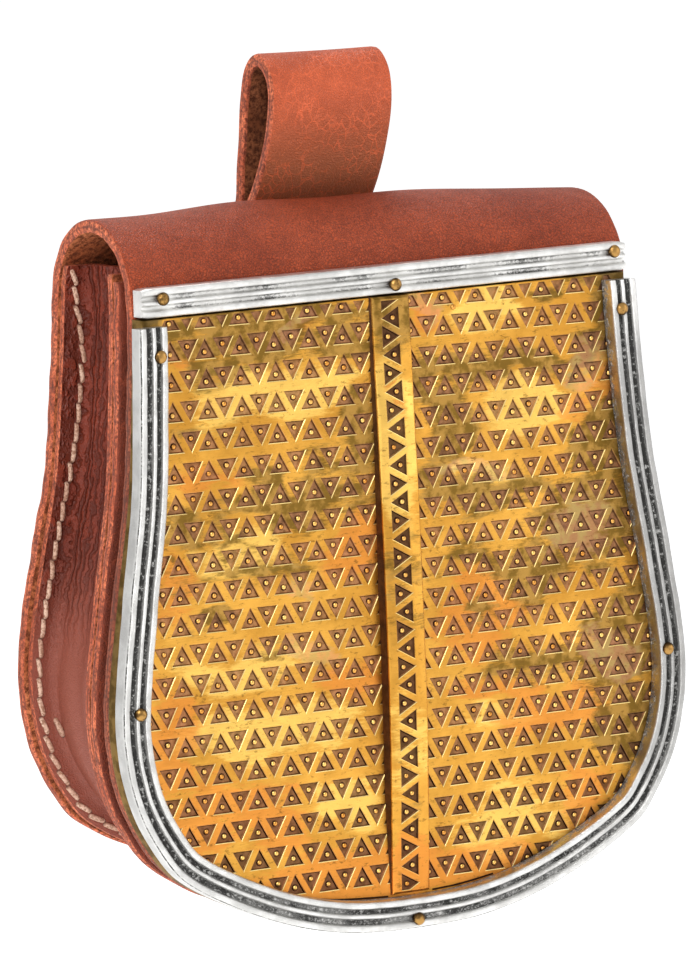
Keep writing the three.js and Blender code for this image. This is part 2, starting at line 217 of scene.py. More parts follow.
def left_of(line, closed=False):
    """Unit directions square to a flat line, on its left."""
    if closed:
        along = np.roll(line, -1, axis=0) - np.roll(line, 1, axis=0)
    else:
        along = np.gradient(line, axis=0)
    left = np.column_stack([-along[:, 1], along[:, 0]])
    return left / np.linalg.norm(left, axis=1)[:, None]


def wander(seed, wavelength, *places):
    """Slow seeded waves of about that length, between about -1 and 1."""
    draw = np.random.default_rng(seed)
    total = 0.0
    waves = 5
    for _ in range(waves):
        aim = draw.normal(size=len(places))
        aim *= 2 * math.pi / (wavelength * draw.uniform(0.7, 1.5) * np.linalg.norm(aim))
        total = total + np.sin(sum(k * p for k, p in zip(aim, places)) + draw.uniform(0, 2 * math.pi))
    return total / math.sqrt(waves)


def smooth_step(low, high, value):
    share = np.clip((value - low) / (high - low), 0, 1)
    return share * share * (3 - 2 * share)


half_edge = np.array([(half, rise) for rise, half in OUTLINE], float)
edge_line = spline(np.vstack([(half_edge * [-1, 1])[:0:-1], half_edge]), 24)
top_half = half_edge[-1, 0]
edge_line = np.vstack([[-top_half, HIGHEST_EDGE], edge_line, [top_half, HIGHEST_EDGE]])
edge_run = run_of(edge_line)
edge_inward = left_of(edge_line)


def outline(top, step, tilt=0.0):
    """Points and inward directions along the outline, from its upper left end to its upper right end."""
    middle = len(edge_line) // 2
    ends = [-top + tilt * top_half, -top - tilt * top_half]
    start, stop = np.interp(ends, -edge_line[:middle, 1], edge_run[:middle])
    count = 2 * round((edge_run[-1] / 2 - start) / step) + 1
    places = np.linspace(start, edge_run[-1] - stop, count)
    inward = at_places(edge_inward, edge_run, places)
    return at_places(edge_line, edge_run, places), inward / np.linalg.norm(inward, axis=1)[:, None]


def closed_outline(inset, top, step, edge_inset, tilt=0.0, drop=1.0):
    """The outline moved inwards and closed by a straight line across the top.

    The line across may rise to the right, and comes down by a share of what the sides move inwards.
    """
    line, inward = outline(top, step, tilt)
    line = line + inward * inset
    ceiling = top - drop * (inset - edge_inset) + tilt * line[:, 0]
    line[:, 1] = np.minimum(line[:, 1], ceiling)
    line[[0, -1], 1] = ceiling[[0, -1]]
    count = round(2 * top_half / step)
    across = np.linspace(line[-1], line[0], count + 1)[1:-1]
    return np.vstack([line, across])


def back_lift(rise):
    """How much higher the back panel is than the flap, at a rise of the shared outline."""
    return BACK_LIFT * (1 - smooth_step(LIFT_WHOLE, LIFT_NONE, rise))


def on_flap(x, depth, rise):
    """Points given in the face of the flap, in the frame of the pouch."""
    y = FLAP_TOE + depth * math.cos(FLAP_LEAN) + rise * math.sin(FLAP_LEAN)
    z = rise * math.cos(FLAP_LEAN) - depth * math.sin(FLAP_LEAN) - HANG
    return np.column_stack(np.broadcast_arrays(x, y, z)).astype(float)


# Meshes

def finished(name, points, faces, finishes, kinds=None, crease=35):
    """An object at the origin from points in millimetres, its faces turned outwards."""
    points = np.asarray(points, float)
    fans = [(f[0], f[k], f[k + 1]) for f in faces for k in range(1, len(f) - 1)]
    a, b, c = (points[list(corner)] for corner in zip(*fans))
    if np.einsum("ij,ij->i", a, np.cross(b, c)).sum() < 0:
        faces = [tuple(reversed(f)) for f in faces]
    mesh = bpy.data.meshes.new(name)
    mesh.from_pydata((points * MM).tolist(), [], [list(map(int, f)) for f in faces])
    for finish in finishes:
        mesh.materials.append(finish)
    if kinds is not None:
        mesh.polygons.foreach_set("material_index", np.asarray(kinds, np.int32))
    mesh.polygons.foreach_set("use_smooth", np.ones(len(faces), bool))
    mesh.set_sharp_from_angle(angle=math.radians(crease))
    mesh.update()
    piece = bpy.data.objects.new(name, mesh)
    bpy.context.scene.collection.objects.link(piece)
    return piece


def paint(piece, name, values, domain="POINT"):
    """A number for each point or face, which a material reads by name."""
    attribute = piece.data.attributes.new(name, "FLOAT", domain)
    attribute.data.foreach_set("value", np.asarray(values, np.float32))


def settle(piece, slot, *nodes):
    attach(piece, "root")
    if nodes:
        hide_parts(*nodes)


def ring_faces(starts, count):
    """Quads between rings of points that start at those numbers."""
    faces = []
    for a, b in zip(starts, starts[1:]):
        for i in range(count):
            j = (i + 1) % count
            faces.append((a + j, a + i, b + i, b + j))
    return faces


def sweep(rings):
    """Points and faces of a body through closed rings, with flat ends."""
    stations, count = rings.shape[:2]
    faces = ring_faces([k * count for k in range(stations)], count)
    last = (stations - 1) * count
    faces.append(tuple(range(count)))
    faces.append(tuple(last + k for k in reversed(range(count))))
    return rings.reshape(-1, 3), faces


def inside(points, ring):
    """Which points lie inside a closed ring."""
    x, y = points[:, :1], points[:, 1:]
    ax, ay = ring.T
    bx, by = np.roll(ring, -1, axis=0).T
    crosses = (ay > y) != (by > y)
    rise = np.where(by == ay, 1, by - ay)
    return (crosses & (x < (bx - ax) * (y - ay) / rise + ax)).sum(axis=1) % 2 == 1


def grid_inside(ring, pitch):
    """A regular spread of points inside a ring and clear of it."""
    low, high = ring.min(axis=0), ring.max(axis=0)
    xs = np.arange(low[0] + pitch / 2, high[0], pitch)
    ys = np.arange(low[1] + pitch / 2, high[1], pitch)
    points = np.array(np.meshgrid(xs, ys)).reshape(2, -1).T
    points = points[inside(points, ring)]
    apart = [np.min(np.sum((ring - p) ** 2, axis=1)) for p in points]
    return points[np.array(apart) > (0.7 * pitch) ** 2]


def triangles(points, loops):
    """Triangles between flat points inside the first loop, which keep the edges of every loop."""
    edges = [(loop[k - 1], loop[k]) for loop in loops for k in range(len(loop))]
    made = delaunay_2d_cdt([Vector(p) for p in points], edges, [], 1, 1e-5)
    source = [came[0] for came in made[3]]
    return [tuple(source[k] for k in face) for face in made[2]]


# Leather

# Surfaces of leather, in the order of their finishes
GRAIN, RAW_EDGE, FLESH = range(3)

# Rim of a cut of leather from grain to flesh side: inset, share of the thickness
LEATHER_RIM = [(1, 0), (0.5, 0.02), (0.18, 0.12), (0, 0.34), (0, 0.68), (0.12, 0.9), (0.4, 0.99), (1, 1)]


def cut_leather(name, loop, place, pitch, finishes, seed):
    """A flat cut of leather with a worn rim, laid where place puts it: grain, raw edge and flesh side."""
    rings = []
    for inset, share in LEATHER_RIM:
        ring = loop(inset)
        fray = 0.12 * wander(seed, 9, *ring.T) * (1 - min(inset, 1))
        rings.append(ring + left_of(ring, closed=True) * fray[:, None])
    count = len(rings[0])
    inner = grid_inside(rings[0], pitch)
    fill = triangles(np.vstack([rings[0], inner]), [range(count)])
    depth_share = [np.full(count, share) for _, share in LEATHER_RIM]
    depth_share += [np.zeros(len(inner)), np.ones(len(inner))]
    flat = np.vstack([*rings, inner, inner])
    depth_share = np.concatenate(depth_share)
    layers = len(rings)
    front = layers * count
    back = front + len(inner)
    faces = [tuple(k if k < count else k - count + front for k in f) for f in fill]
    kinds = [GRAIN] * len(fill)
    faces += ring_faces([k * count for k in range(layers)], count)
    for k in range(layers - 1):
        kinds += [GRAIN if k < 2 else FLESH if k == layers - 2 else RAW_EDGE] * count
    last = (layers - 1) * count
    faces += [tuple(k + last if k < count else k - count + back for k in reversed(f)) for f in fill]
    kinds += [FLESH] * len(fill)
    points = place(flat[:, 0], flat[:, 1], depth_share * LEATHER)
    piece = finished(name, points, faces, finishes, kinds)
    paint(piece, "through", depth_share)
    # painted shade on the flap beyond the arch, strongest near it: its raw edge, which lies in shade beside
    # the front panel, and its flesh side
    past_arch = flat[:, 1] - ARCH_RISE - arch_run
    paint(piece, "painted_shade", smooth_step(0, 12, past_arch) * (1 - 0.4 * smooth_step(60, 110, past_arch)))
    return piece


# The arch over the top touches both the back panel and the plane of the flap
arch_reach = (BACK_FACE - FLAP_TOE) * math.cos(FLAP_LEAN) - ARCH_RISE * math.sin(FLAP_LEAN) - FLAP_FACE
arch_radius = arch_reach / (1 + math.cos(FLAP_LEAN))
arch_middle = (BACK_FACE - arch_radius, ARCH_RISE - HANG)
arch_run = arch_radius * (math.pi - FLAP_LEAN)


def back_and_flap_loop(inset):
    """The cut before it is bent: x, and the distance from the foot of the back to the foot of the flap."""
    line, inward = outline(ARCH_RISE, OUTLINE_STEP)
    line = line + inward * (inset + FLAP_INSET)
    right = line[len(line) // 2:]
    over = np.linspace(ARCH_RISE, ARCH_RISE + arch_run, round(arch_run / OUTLINE_STEP))[1:-1]
    side = np.column_stack([np.full(len(over), right[-1, 0]), over])
    far = np.column_stack([right[::-1, 0], 2 * ARCH_RISE + arch_run - right[::-1, 1]])
    half = np.vstack([right, side, far])
    return np.vstack([half, (half * [-1, 1])[-2:0:-1]])


def bent_leather(x, along, depth):
    turn = np.clip((along - ARCH_RISE) / arch_radius, 0, math.pi - FLAP_LEAN)
    over = np.clip((along - ARCH_RISE) / arch_run, 0, 1)
    down = 1 - smooth_step(0, 25, along - ARCH_RISE - arch_run)
    high = 1 - 0.5 * smooth_step(70, 110, along)
    x = x - BACK_LEFT * high * smooth_step(30, 60, -x) * (1 - smooth_step(0, 0.8, over))
    x = x + ARCH_RIGHT * smooth_step(40, top_half, x) * smooth_step(0.1, 0.75, over) * down
    back = np.column_stack([x, BACK_FACE - depth, along + back_lift(along) - HANG])
    swell = ARCH_SWELL * (1 - (x / top_half) ** 2) + 0.25 * wander(3, 50, x) - 0.5 * smooth_step(10, 50, x)
    y = arch_middle[0] + (arch_radius - depth) * np.cos(turn)
    z = arch_middle[1] + (arch_radius - depth + swell) * np.sin(turn)
    arch = np.column_stack([x, y, z])
    flap = on_flap(x, FLAP_FACE + depth, 2 * ARCH_RISE + arch_run - along)
    above = (along > ARCH_RISE)[:, None]
    beyond = (along > ARCH_RISE + arch_run)[:, None]
    return np.where(beyond, flap, np.where(above, arch, back))


def front_panel_loop(inset):
    return closed_outline(inset + PANEL_INSET, PANEL_TOP, OUTLINE_STEP, PANEL_INSET)


def front_panel_place(x, rise, depth):
    return on_flap(x, PANEL_FACE + depth, rise)


def back_inside(z):
    """Front face of the back panel at a height, which bends forward where the arch starts."""
    up = np.maximum(z - arch_middle[1], 0)
    return arch_middle[0] + np.sqrt((arch_radius - LEATHER) ** 2 - up**2)


def flange_faces(rise):
    """Depths in y of the seen faces of the gusset's rear and front flanges."""
    rear = back_inside(rise - HANG) - GAP - SOFT_LEATHER
    return rear, on_flap(0, GUSSET_FACE, rise)[:, 1]


def gusset(finishes):
    line, inward = outline(GUSSET_TOP, 1.3)
    rows = spline(GUSSET_SECTION, 5)
    web = smooth_step(6.2, 8.2, rows[:, 0])
    rear, front = flange_faces(line[:, 1])
    rings = []
    for foot, aim, back, fore in zip(line, inward, rear, front):
        upper = smooth_step(48, 96, foot[1])
        lower = 1 - smooth_step(30, 74, foot[1])
        share = rows[:, 2]
        crease = np.sin(share * 41 + 0.5 * math.sin(foot[1] / 17)) * smooth_step(0.3, 0.55, share)
        crease += 0.6 * np.sin(share * 67 + 1 + 0.7 * math.sin(foot[1] / 11 + 2))
        inset = rows[:, 0] + web * (0.34 * upper * crease - 1.9 * lower)
        inset = inset + web * 0.3 * wander(11, 26, np.full(len(rows), foot[0] + foot[1]), share * 30)
        seen = np.column_stack([inset, back + (fore - back) * share - rows[:, 1]])
        hidden = seen + left_of(seen) * SOFT_LEATHER
        lip = (seen[[0, -1]] + hidden[[0, -1]]) / 2 - [0.12, 0]
        section = np.vstack([seen, lip[1:], hidden[::-1], lip[:1]])
        place = foot + aim * section[:, :1]
        forward = np.clip((section[:, 1] - back) / (fore - back), 0, 1)
        lifted = place[:, 1] + back_lift(foot[1]) * (1 - forward)
        rings.append(np.column_stack([place[:, 0], section[:, 1], lifted - HANG]))
    points, faces = sweep(np.array(rings))
    wide = len(rows)
    cut = [RAW_EDGE] * 2
    kind = [GRAIN] * (wide - 1) + cut + [FLESH] * (wide - 1) + cut
    kinds = kind * (len(rings) - 1) + cut
    piece = finished("gusset_leather", points, faces, finishes, kinds)
    through = [0] * wide + [0.5] + [1] * wide + [0.5]
    paint(piece, "through", through * len(rings))
    return piece


def strap_section():
    """Closed section of the strap as x, height above its middle, and kind of surface."""
    half = STRAP_WIDTH / 2
    thick = LEATHER / 2
    across = np.linspace(-half + STRAP_BEVEL, half - STRAP_BEVEL, 13)
    face = [(x, thick, GRAIN) for x in across]
    rim = [(half - 0.3, thick - 0.15, GRAIN), (half, thick - 0.55, RAW_EDGE)]
    rim += [(half, -thick + 0.6, RAW_EDGE), (half - 0.25, -thick + 0.1, RAW_EDGE)]
    under = [(x, -thick, FLESH) for x in reversed(across)]
    return face + rim + under + [(-x, t, kind) for x, t, kind in reversed(rim)]


def belt_loop(finishes):
    line = resampled(spline(STRAP_LINE, 14), 1.0)
    run = run_of(line)
    out = left_of(line)
    section = strap_section()
    rings = []
    for place, aim, far in zip(line, out, run):
        ring = []
        for x, t, _ in section:
            lift = 0.12 * float(wander(21, 14, np.array([x]), np.array([far]))[0])
            fray = 1 + 0.006 * math.sin(far / 5.3 + x)
            y, z = place + aim * (t + lift)
            ring.append((x * fray, y, z))
        rings.append(ring)
    points, faces = sweep(np.array(rings))
    sides = [side for _, _, side in section]
    kind = [a if a == b else RAW_EDGE for a, b in zip(sides, sides[1:] + sides[:1])]
    kinds = kind * (len(rings) - 1) + [RAW_EDGE] * 2
    piece = finished("belt_loop_strap", points, faces, finishes, kinds)
    paint(piece, "through", [0.5 - t / LEATHER for _, t, _ in section] * len(rings))
    # painted shade on the strap's flesh side, inside the loop
    paint(piece, "painted_shade", [0.65 if side == FLESH else 0 for side in sides] * len(rings))
    return piece


# Metal

# Degrees above which an edge stays sharp
BRASS_CREASE = 28
SILVER_CREASE = 50
RIM_TARNISH = 1.6
# The upper corners of the sheet, tarnished like its rim
BARE_CORNER_REACH = 55
BARE_CORNER_DROP = 2.4
STRIP_FLOOR_PATINA = 0.86
STRIP_WALL_SHADE = (0.88, 0.7)  # painted shade on the strip's walls: left, right


def softened(section):
    """An open section with its corners cut finer twice, keeping its two ends."""
    rows = np.asarray(section, float)
    for _ in range(2):
        near = rows[:-1] * 0.75 + rows[1:] * 0.25
        far = rows[:-1] * 0.25 + rows[1:] * 0.75
        between = np.stack([near, far], axis=1).reshape(-1, rows.shape[1])
        rows = np.vstack([rows[:1], between[1:-1], rows[-1:]])
    return rows


def arm_spread(x, rise):
    """How far the arms of the moulding are moved to the left."""
    up = np.maximum(rise - ARM_FOOT, 0) / (MOULDING_TOP - ARM_FOOT)
    belly = smooth_step(0, 60, rise) * (1 - smooth_step(90, 130, rise))
    return np.where(x < 0, ARM_SPREAD * up, -ARM_BELLY * belly)


def edge_moulding(finish):
    rows = softened(MOULDING_SECTION)
    line, inward = outline(MOULDING_TOP, 1.2, TOP_TILT)
    run = run_of(line)
    rings = []
    for foot, aim, far in zip(line, inward, run):
        place = foot + aim * rows[:, :1]
        ceiling = MOULDING_TOP + TOP_TILT * place[:, 0]
        end = min(far, run[-1] - far)
        place[:, 1] = ceiling if end == 0 else np.minimum(place[:, 1], ceiling)
        place[:, 0] -= arm_spread(*place.T)
        cast = 0.06 * wander(31, 7, rows[:, 0] * 2, np.full(len(rows), far))
        worn = 1 - 0.06 * (1 - smooth_step(0, 1.6, np.array(end)))
        rings.append(on_flap(place[:, 0], -(rows[:, 1] + cast) * worn, place[:, 1]))
    points, faces = sweep(np.array(rings))
    piece = finished("silver_moulding", points, faces, [finish], crease=SILVER_CREASE)
    share = run / run[-1]
    bottom = smooth_step(0.3, 0.42, share) * (1 - smooth_step(0.62, 0.72, share))
    floors = smooth_step(0.82, 0.98, rows[:, 2])
    paint(piece, "patina_and_wall_shade", ((1 - 0.2 * np.outer(bottom, floors)) * rows[:, 2]).ravel())
    # how much greyer the silver is: a little on the left arm, much on the right arm, and more on the outer
    # side face
    dimmed = 0.15 * (1 - smooth_step(0.3, 0.4, share))
    dimmed = dimmed + 0.62 * smooth_step(0.62, 0.75, share) * (1 - smooth_step(0.95, 1, share))
    paint(piece, "dimmed", (dimmed[:, None] + 0.2 * (rows[:, 0] == 0)).ravel())
    return piece


def top_bar(finish):
    rows = softened(BAR_SECTION)
    xs = np.linspace(-BAR_HALF, BAR_HALF, BAR_STATIONS)
    middle = BAR_SECTION[-1][0] / 2
    rings = []
    for x in xs:
        end = BAR_HALF - abs(x)
        worn = 1 - smooth_step(0, 0.8, np.array(end))
        up = middle + (rows[:, 0] - middle) * (1 - 0.1 * worn)
        proud = rows[:, 1] + 0.06 * wander(41, 7, np.full(len(rows), x), rows[:, 0] * 2)
        proud = np.where(rows[:, 1] > 0, proud - 0.25 * worn, rows[:, 1])
        rings.append(on_flap(x, -proud, BAR_FOOT + TOP_TILT * x + up))
    points, faces = sweep(np.array(rings))
    piece = finished("silver_top_bar", points, faces, [finish], crease=SILVER_CREASE)
    rubbed = 0.86 + 0.1 * wander(45, 20, xs) - 0.5 * (1 - smooth_step(2, 9, xs + BAR_HALF))
    for _, x, _, proud in RIVETS:
        if proud == BAR_PROUD:
            rubbed = rubbed - 0.35 * (1 - smooth_step(1.5, 5, np.abs(xs - x)))
    paint(piece, "patina_and_wall_shade", np.outer(np.clip(rubbed, 0, 1), rows[:, 2]).ravel())
    return piece


stamp_side = math.hypot(STAMP_BASE / 2, STAMP_HEIGHT)
stamp_inner = STAMP_BASE * STAMP_HEIGHT / (STAMP_BASE + 2 * stamp_side)  # radius of the circle inside


def stamp_loop(pellet, aim, grow):
    """Corners of a stamped triangle that points along aim, moved outwards by grow."""
    aim = np.array(aim, float)
    side = np.array([-aim[1], aim[0]])
    foot = np.array(pellet) - aim * STAMP_FOOT
    corners = [foot + aim * STAMP_HEIGHT, foot + side * STAMP_BASE / 2, foot - side * STAMP_BASE / 2]
    middle = foot + aim * stamp_inner
    return [middle + (corner - middle) * (1 + grow / stamp_inner) for corner in corners]


def level(place):
    """Rise of a place, counted along the slope of the bar."""
    return place[1] - TOP_TILT * place[0]


def cut_off(loop, beyond):
    """A loop without what lies beyond a straight limit."""
    kept = []
    for a, b in zip(loop, loop[1:] + loop[:1]):
        over, next_over = beyond(a), beyond(b)
        if over <= 0:
            kept.append(a)
        if over * next_over < 0:
            kept.append(a + (b - a) * over / (over - next_over))
    return kept


STAMP_STEPS = [(0.17, 0.0), (0.0, 0.09), (-0.22, STAMP_DEPTH)]  # moved outwards by, depth
STAMP_CEILING = SHEET_TOP - 0.45  # stamps are cut off here, below the bar
STAMP_LIMIT = STAMP_CEILING - 0.7  # stamps that start above this, and pellets above it, are left out


def stamped_field(ring, stamps, pitch, floor, ceiling):
    """A flat field inside a ring, with triangles stamped into it: points, depths, roles and triangles."""
    flat = [np.asarray(ring)]
    depths = [np.zeros(len(ring))]
    roles = [np.zeros(len(ring), int)]
    loops = [range(len(ring))]
    start = len(ring)
    for pellet, aim in stamps:
        for role, (grow, depth) in enumerate(STAMP_STEPS):
            loop = cut_off(stamp_loop(pellet, aim, grow), lambda p: level(p) - ceiling + 0.1 * role)
            loop = cut_off(loop, lambda p: floor + 0.1 * role - p[1])
            flat.append(np.array(loop))
            depths.append(np.full(len(loop), depth))
            roles.append(np.full(len(loop), role))
            loops.append(range(start, start + len(loop)))
            start += len(loop)
    spread = grid_inside(np.asarray(ring), pitch)
    taken = np.zeros(len(spread), bool)
    for pellet, aim in stamps:
        near = np.abs(spread - pellet).max(axis=1) < STAMP_HEIGHT
        if near.any():
            taken[near] |= inside(spread[near], np.array(stamp_loop(pellet, aim, 0.4)))
    spread = spread[~taken]
    flat.append(spread)
    depths.append(np.zeros(len(spread)))
    roles.append(np.zeros(len(spread), int))
    flat, depths, roles = np.vstack(flat), np.concatenate(depths), np.concatenate(roles)
    return flat, depths, roles, triangles(flat, loops)


def recess_patina_and_shade(flat, depths, roles, faces, floor):
    """How dark each triangle is: floors take the patina given; walls are darker with painted shade, less
    where they face up or left; rims carry a painted glint where they face up or left and a little painted
    shade elsewhere.
    """
    corners = np.array(faces)
    role = roles[corners]
    place = np.column_stack([flat, -depths])[corners]
    normal = np.cross(place[:, 1] - place[:, 0], place[:, 2] - place[:, 0])
    normal /= np.linalg.norm(normal, axis=1)[:, None]
    slope = np.maximum(np.hypot(normal[:, 0], normal[:, 1]), 1e-6)
    lit = smooth_step(0.3, 0.8, (normal[:, 1] - 0.5 * normal[:, 0]) / slope)
    low, high = role.min(axis=1), role.max(axis=1)
    # rims get a painted glint where they face up or left and a little painted shade elsewhere; walls get
    # painted shade, less where they face up or left
    rim = np.where(high == 0, 0, 0.3 - 0.55 * lit)
    wall = np.minimum(floor + 0.22, 1) - 0.35 * lit
    return np.where(low == 2, floor, np.where(high == 2, wall, rim))


def sheet_stamps():
    """Places and aims of the triangles stamped into the sheet, up and down by turns."""
    fence = closed_outline(SHEET_INSET + 1.4, HIGHEST_EDGE - 2, 2, SHEET_INSET)
    stamps = []
    for row in range(STAMP_ROWS):
        rise = STAMP_LEVEL + (STAMP_LEVEL_ROW - row) * STAMP_ROW
        for column in range(STAMP_COLUMNS):
            x = (column - (STAMP_COLUMNS - 1) / 2) * STAMP_PITCH + STAMP_MIDDLE
            rest = 0.09 * wander(51, 3, np.array([x]), np.array([rise]))[0]
            near = rise - STAMP_SQUEEZE * (rise - STAMP_LEVEL) * min(max(-x / STAMP_REACH, 0), 1)
            stamps.append(((x + rest, near + rest), (0, 1)))
            down = near + STAMP_HEIGHT - 2 * STAMP_FOOT
            stamps.append(((x + STAMP_PITCH / 2 - rest, down + rest), (0, -1)))
    kept = []
    for pellet, aim in stamps:
        corners = stamp_loop(pellet, aim, STAMP_STEPS[-1][0])
        shows = min(level(corner) for corner in corners) < STAMP_LIMIT
        if shows and inside(np.array(stamp_loop(pellet, aim, 0.3)), fence).all():
            kept.append((pellet, aim))
    return kept


def sheet_wave(x, rise):
    """Small unevenness of the hand-worked sheet, as depth."""
    inner = 1 - smooth_step(0.75, 0.95, np.hypot(x / 72, (rise - 70) / 72))
    return (0.16 * wander(61, 38, x, rise) + 0.07 * wander(62, 15, x, rise)) * inner


# Edge of the sheet from its face to its inside: inset, depth
SHEET_FOLD = [
    (0.95, 0), (0.5, 0.08), (0.2, 0.25), (0, 0.65), (-0.4, 2.9), (-0.3, SHEET_RIM),
    (SHEET_METAL, SHEET_RIM), (SHEET_METAL, SHEET_METAL + 0.1),
]


def folded_brass(name, finish, rings, field, levels, floor):
    """A stamped field whose edge is folded back through rings at those depths and closed behind.

    With it come the darkness of each face, patina with painted shade and glint, and the flat place of each
    point.
    """
    flat, depths, roles, fill = field
    count = len(rings[0])
    places = [on_flap(flat[:, 0], depths, flat[:, 1])]
    for ring, depth in zip(rings[1:], levels):
        places.append(on_flap(ring[:, 0], depth, ring[:, 1]))
    starts = [0] + [len(flat) + k * count for k in range(len(rings) - 1)]
    faces = fill + ring_faces(starts, count)
    faces += [tuple(k + starts[-1] for k in reversed(f)) for f in triangles(rings[-1], [range(count)])]
    piece = finished(name, np.vstack(places), faces, [finish], crease=BRASS_CREASE)
    patina_shade_and_glint = np.zeros(len(faces))
    patina_shade_and_glint[: len(fill)] = recess_patina_and_shade(flat, depths, roles, fill, floor)
    return piece, patina_shade_and_glint, np.vstack([flat, *rings[1:]])


def brass_sheet(finish, stamps):
    insets, levels = zip(*SHEET_FOLD)
    shared = (SHEET_TOP, OUTLINE_STEP, SHEET_INSET, TOP_TILT, 0.3)
    rings = [closed_outline(SHEET_INSET + inset, *shared) for inset in insets]
    flat, depths, roles, fill = stamped_field(rings[0], stamps, SHEET_MESH, 0, STAMP_CEILING)
    field = flat, depths + sheet_wave(*flat.T), roles, fill
    rises = flat[np.array(fill)].mean(axis=1)[:, 1]
    floor = 0.6 + 0.2 * (1 - smooth_step(15, 70, rises))
    piece, patina_shade_and_glint, places = folded_brass("brass_stamped_sheet", finish, rings, field, levels[1:], floor)
    paint(piece, "patina_shade_and_glint", patina_shade_and_glint, "FACE")
    rim = np.arange(len(places)) >= len(flat) + len(rings[0])
    far_out = abs(places[:, 0] + 1) > BARE_CORNER_REACH
    bare_corner = far_out & (level(places.T) > SHEET_TOP - BARE_CORNER_DROP)
    paint_blotches(piece, BLOTCHES, *places.T, rim | bare_corner)
    return piece


def scores(finish):
    """Two scored lines across the foot of the sheet, made as thin dark strips: their darkness is painted
    shade in the grooves.
    """
    points, faces = [], []
    for row in SCORES:
        line = resampled(spline(row, 8), 1.0)
        side = left_of(line) * SCORE_HALF
        rings = []
        for a, b in zip(line - side, line + side):
            xs, rises = np.array([a, b, b, a]).T
            rings.append(on_flap(xs, sheet_wave(xs, rises) + [-0.06, -0.06, 0.1, 0.1], rises))
        more_points, more_faces = sweep(np.array(rings))
        start = len(points)
        points += list(more_points)
        faces += [tuple(k + start for k in face) for face in more_faces]
    piece = finished("sheet_scores", np.array(points), faces, [finish])
    # painted shade: the darkest recess colour
    paint(piece, "patina_shade_and_glint", np.ones(len(faces)), "FACE")
    return piece


def strip_height(rise):
    share = (rise - STRIP_FOOT) / (SHEET_TOP - STRIP_FOOT)
    bow = np.where(share < STRIP_PEAK, share / STRIP_PEAK, (1 - share) / (1 - STRIP_PEAK))
    return STRIP_LEAST + (STRIP_MOST - STRIP_LEAST) * np.sin(np.clip(bow, 0, 1) * math.pi / 2)


def strip_stamps():
    """Places and aims of the triangles along the strip, to the right and to the left by turns."""
    stamps = []
    for k in range(STRIP_STAMPS):
        aim = -1 if k % 2 else 1
        x = STRIP_STAMP_MIDDLE - STRIP_STAMP_SWING * aim
        stamps.append(((x, STRIP_STAMP_TOP - k * STRIP_STAMP_PITCH), (aim, 0)))
    return stamps


# Edge of the strip: inset, depth below its face, and none for its foot on the sheet
STRIP_FOLD = [(0.55, 0), (0.25, 0.06), (0.08, 0.2), (0, 0.5), (-0.5, None)]


def strip_ring(inset):
    x = STRIP_HALF - inset
    low, high = STRIP_FOOT + max(inset, 0), SHEET_TOP - 0.1 - max(inset, 0)
    corners = np.array([(-x, high), (-x, low), (x, low), (x, high), (-x, high)])
    sides = [np.linspace(a, b, n + 1)[:-1] for a, b, n in zip(corners, corners[1:], (90, 6, 90, 6))]
    return np.vstack(sides)


def centre_strip(finish, stamps):
    rings = [strip_ring(inset) for inset, _ in STRIP_FOLD]
    ends = (STRIP_FOOT + 0.7, SHEET_TOP - 0.9)
    flat, depths, roles, fill = stamped_field(rings[0], stamps, STRIP_MESH, *ends)
    depths = depths + 0.1 * wander(71, 30, flat[:, 1]) - strip_height(flat[:, 1])
    field = flat, depths + STRIP_CROWN * flat[:, 0] ** 2, roles, fill
    levels = []
    for ring, (_, drop) in zip(rings[1:], STRIP_FOLD[1:]):
        edge = STRIP_CROWN * STRIP_HALF**2 - strip_height(ring[:, 1])
        levels.append(0.2 if drop is None else drop + edge)
    made = folded_brass("brass_centre_strip", finish, rings, field, levels, STRIP_FLOOR_PATINA)
    piece, patina_shade_and_glint, places = made
    count = len(rings[0])
    wall = len(fill) + (len(rings) - 2) * count
    # painted shade on the strip's walls, darker on the left
    patina_shade_and_glint[wall : wall + count] = np.where(rings[-1][:, 0] < 0, *STRIP_WALL_SHADE)
    paint(piece, "patina_shade_and_glint", patina_shade_and_glint, "FACE")
    paint_blotches(piece, STRIP_BLOTCHES, *places.T, np.zeros(len(places), bool))
    return piece
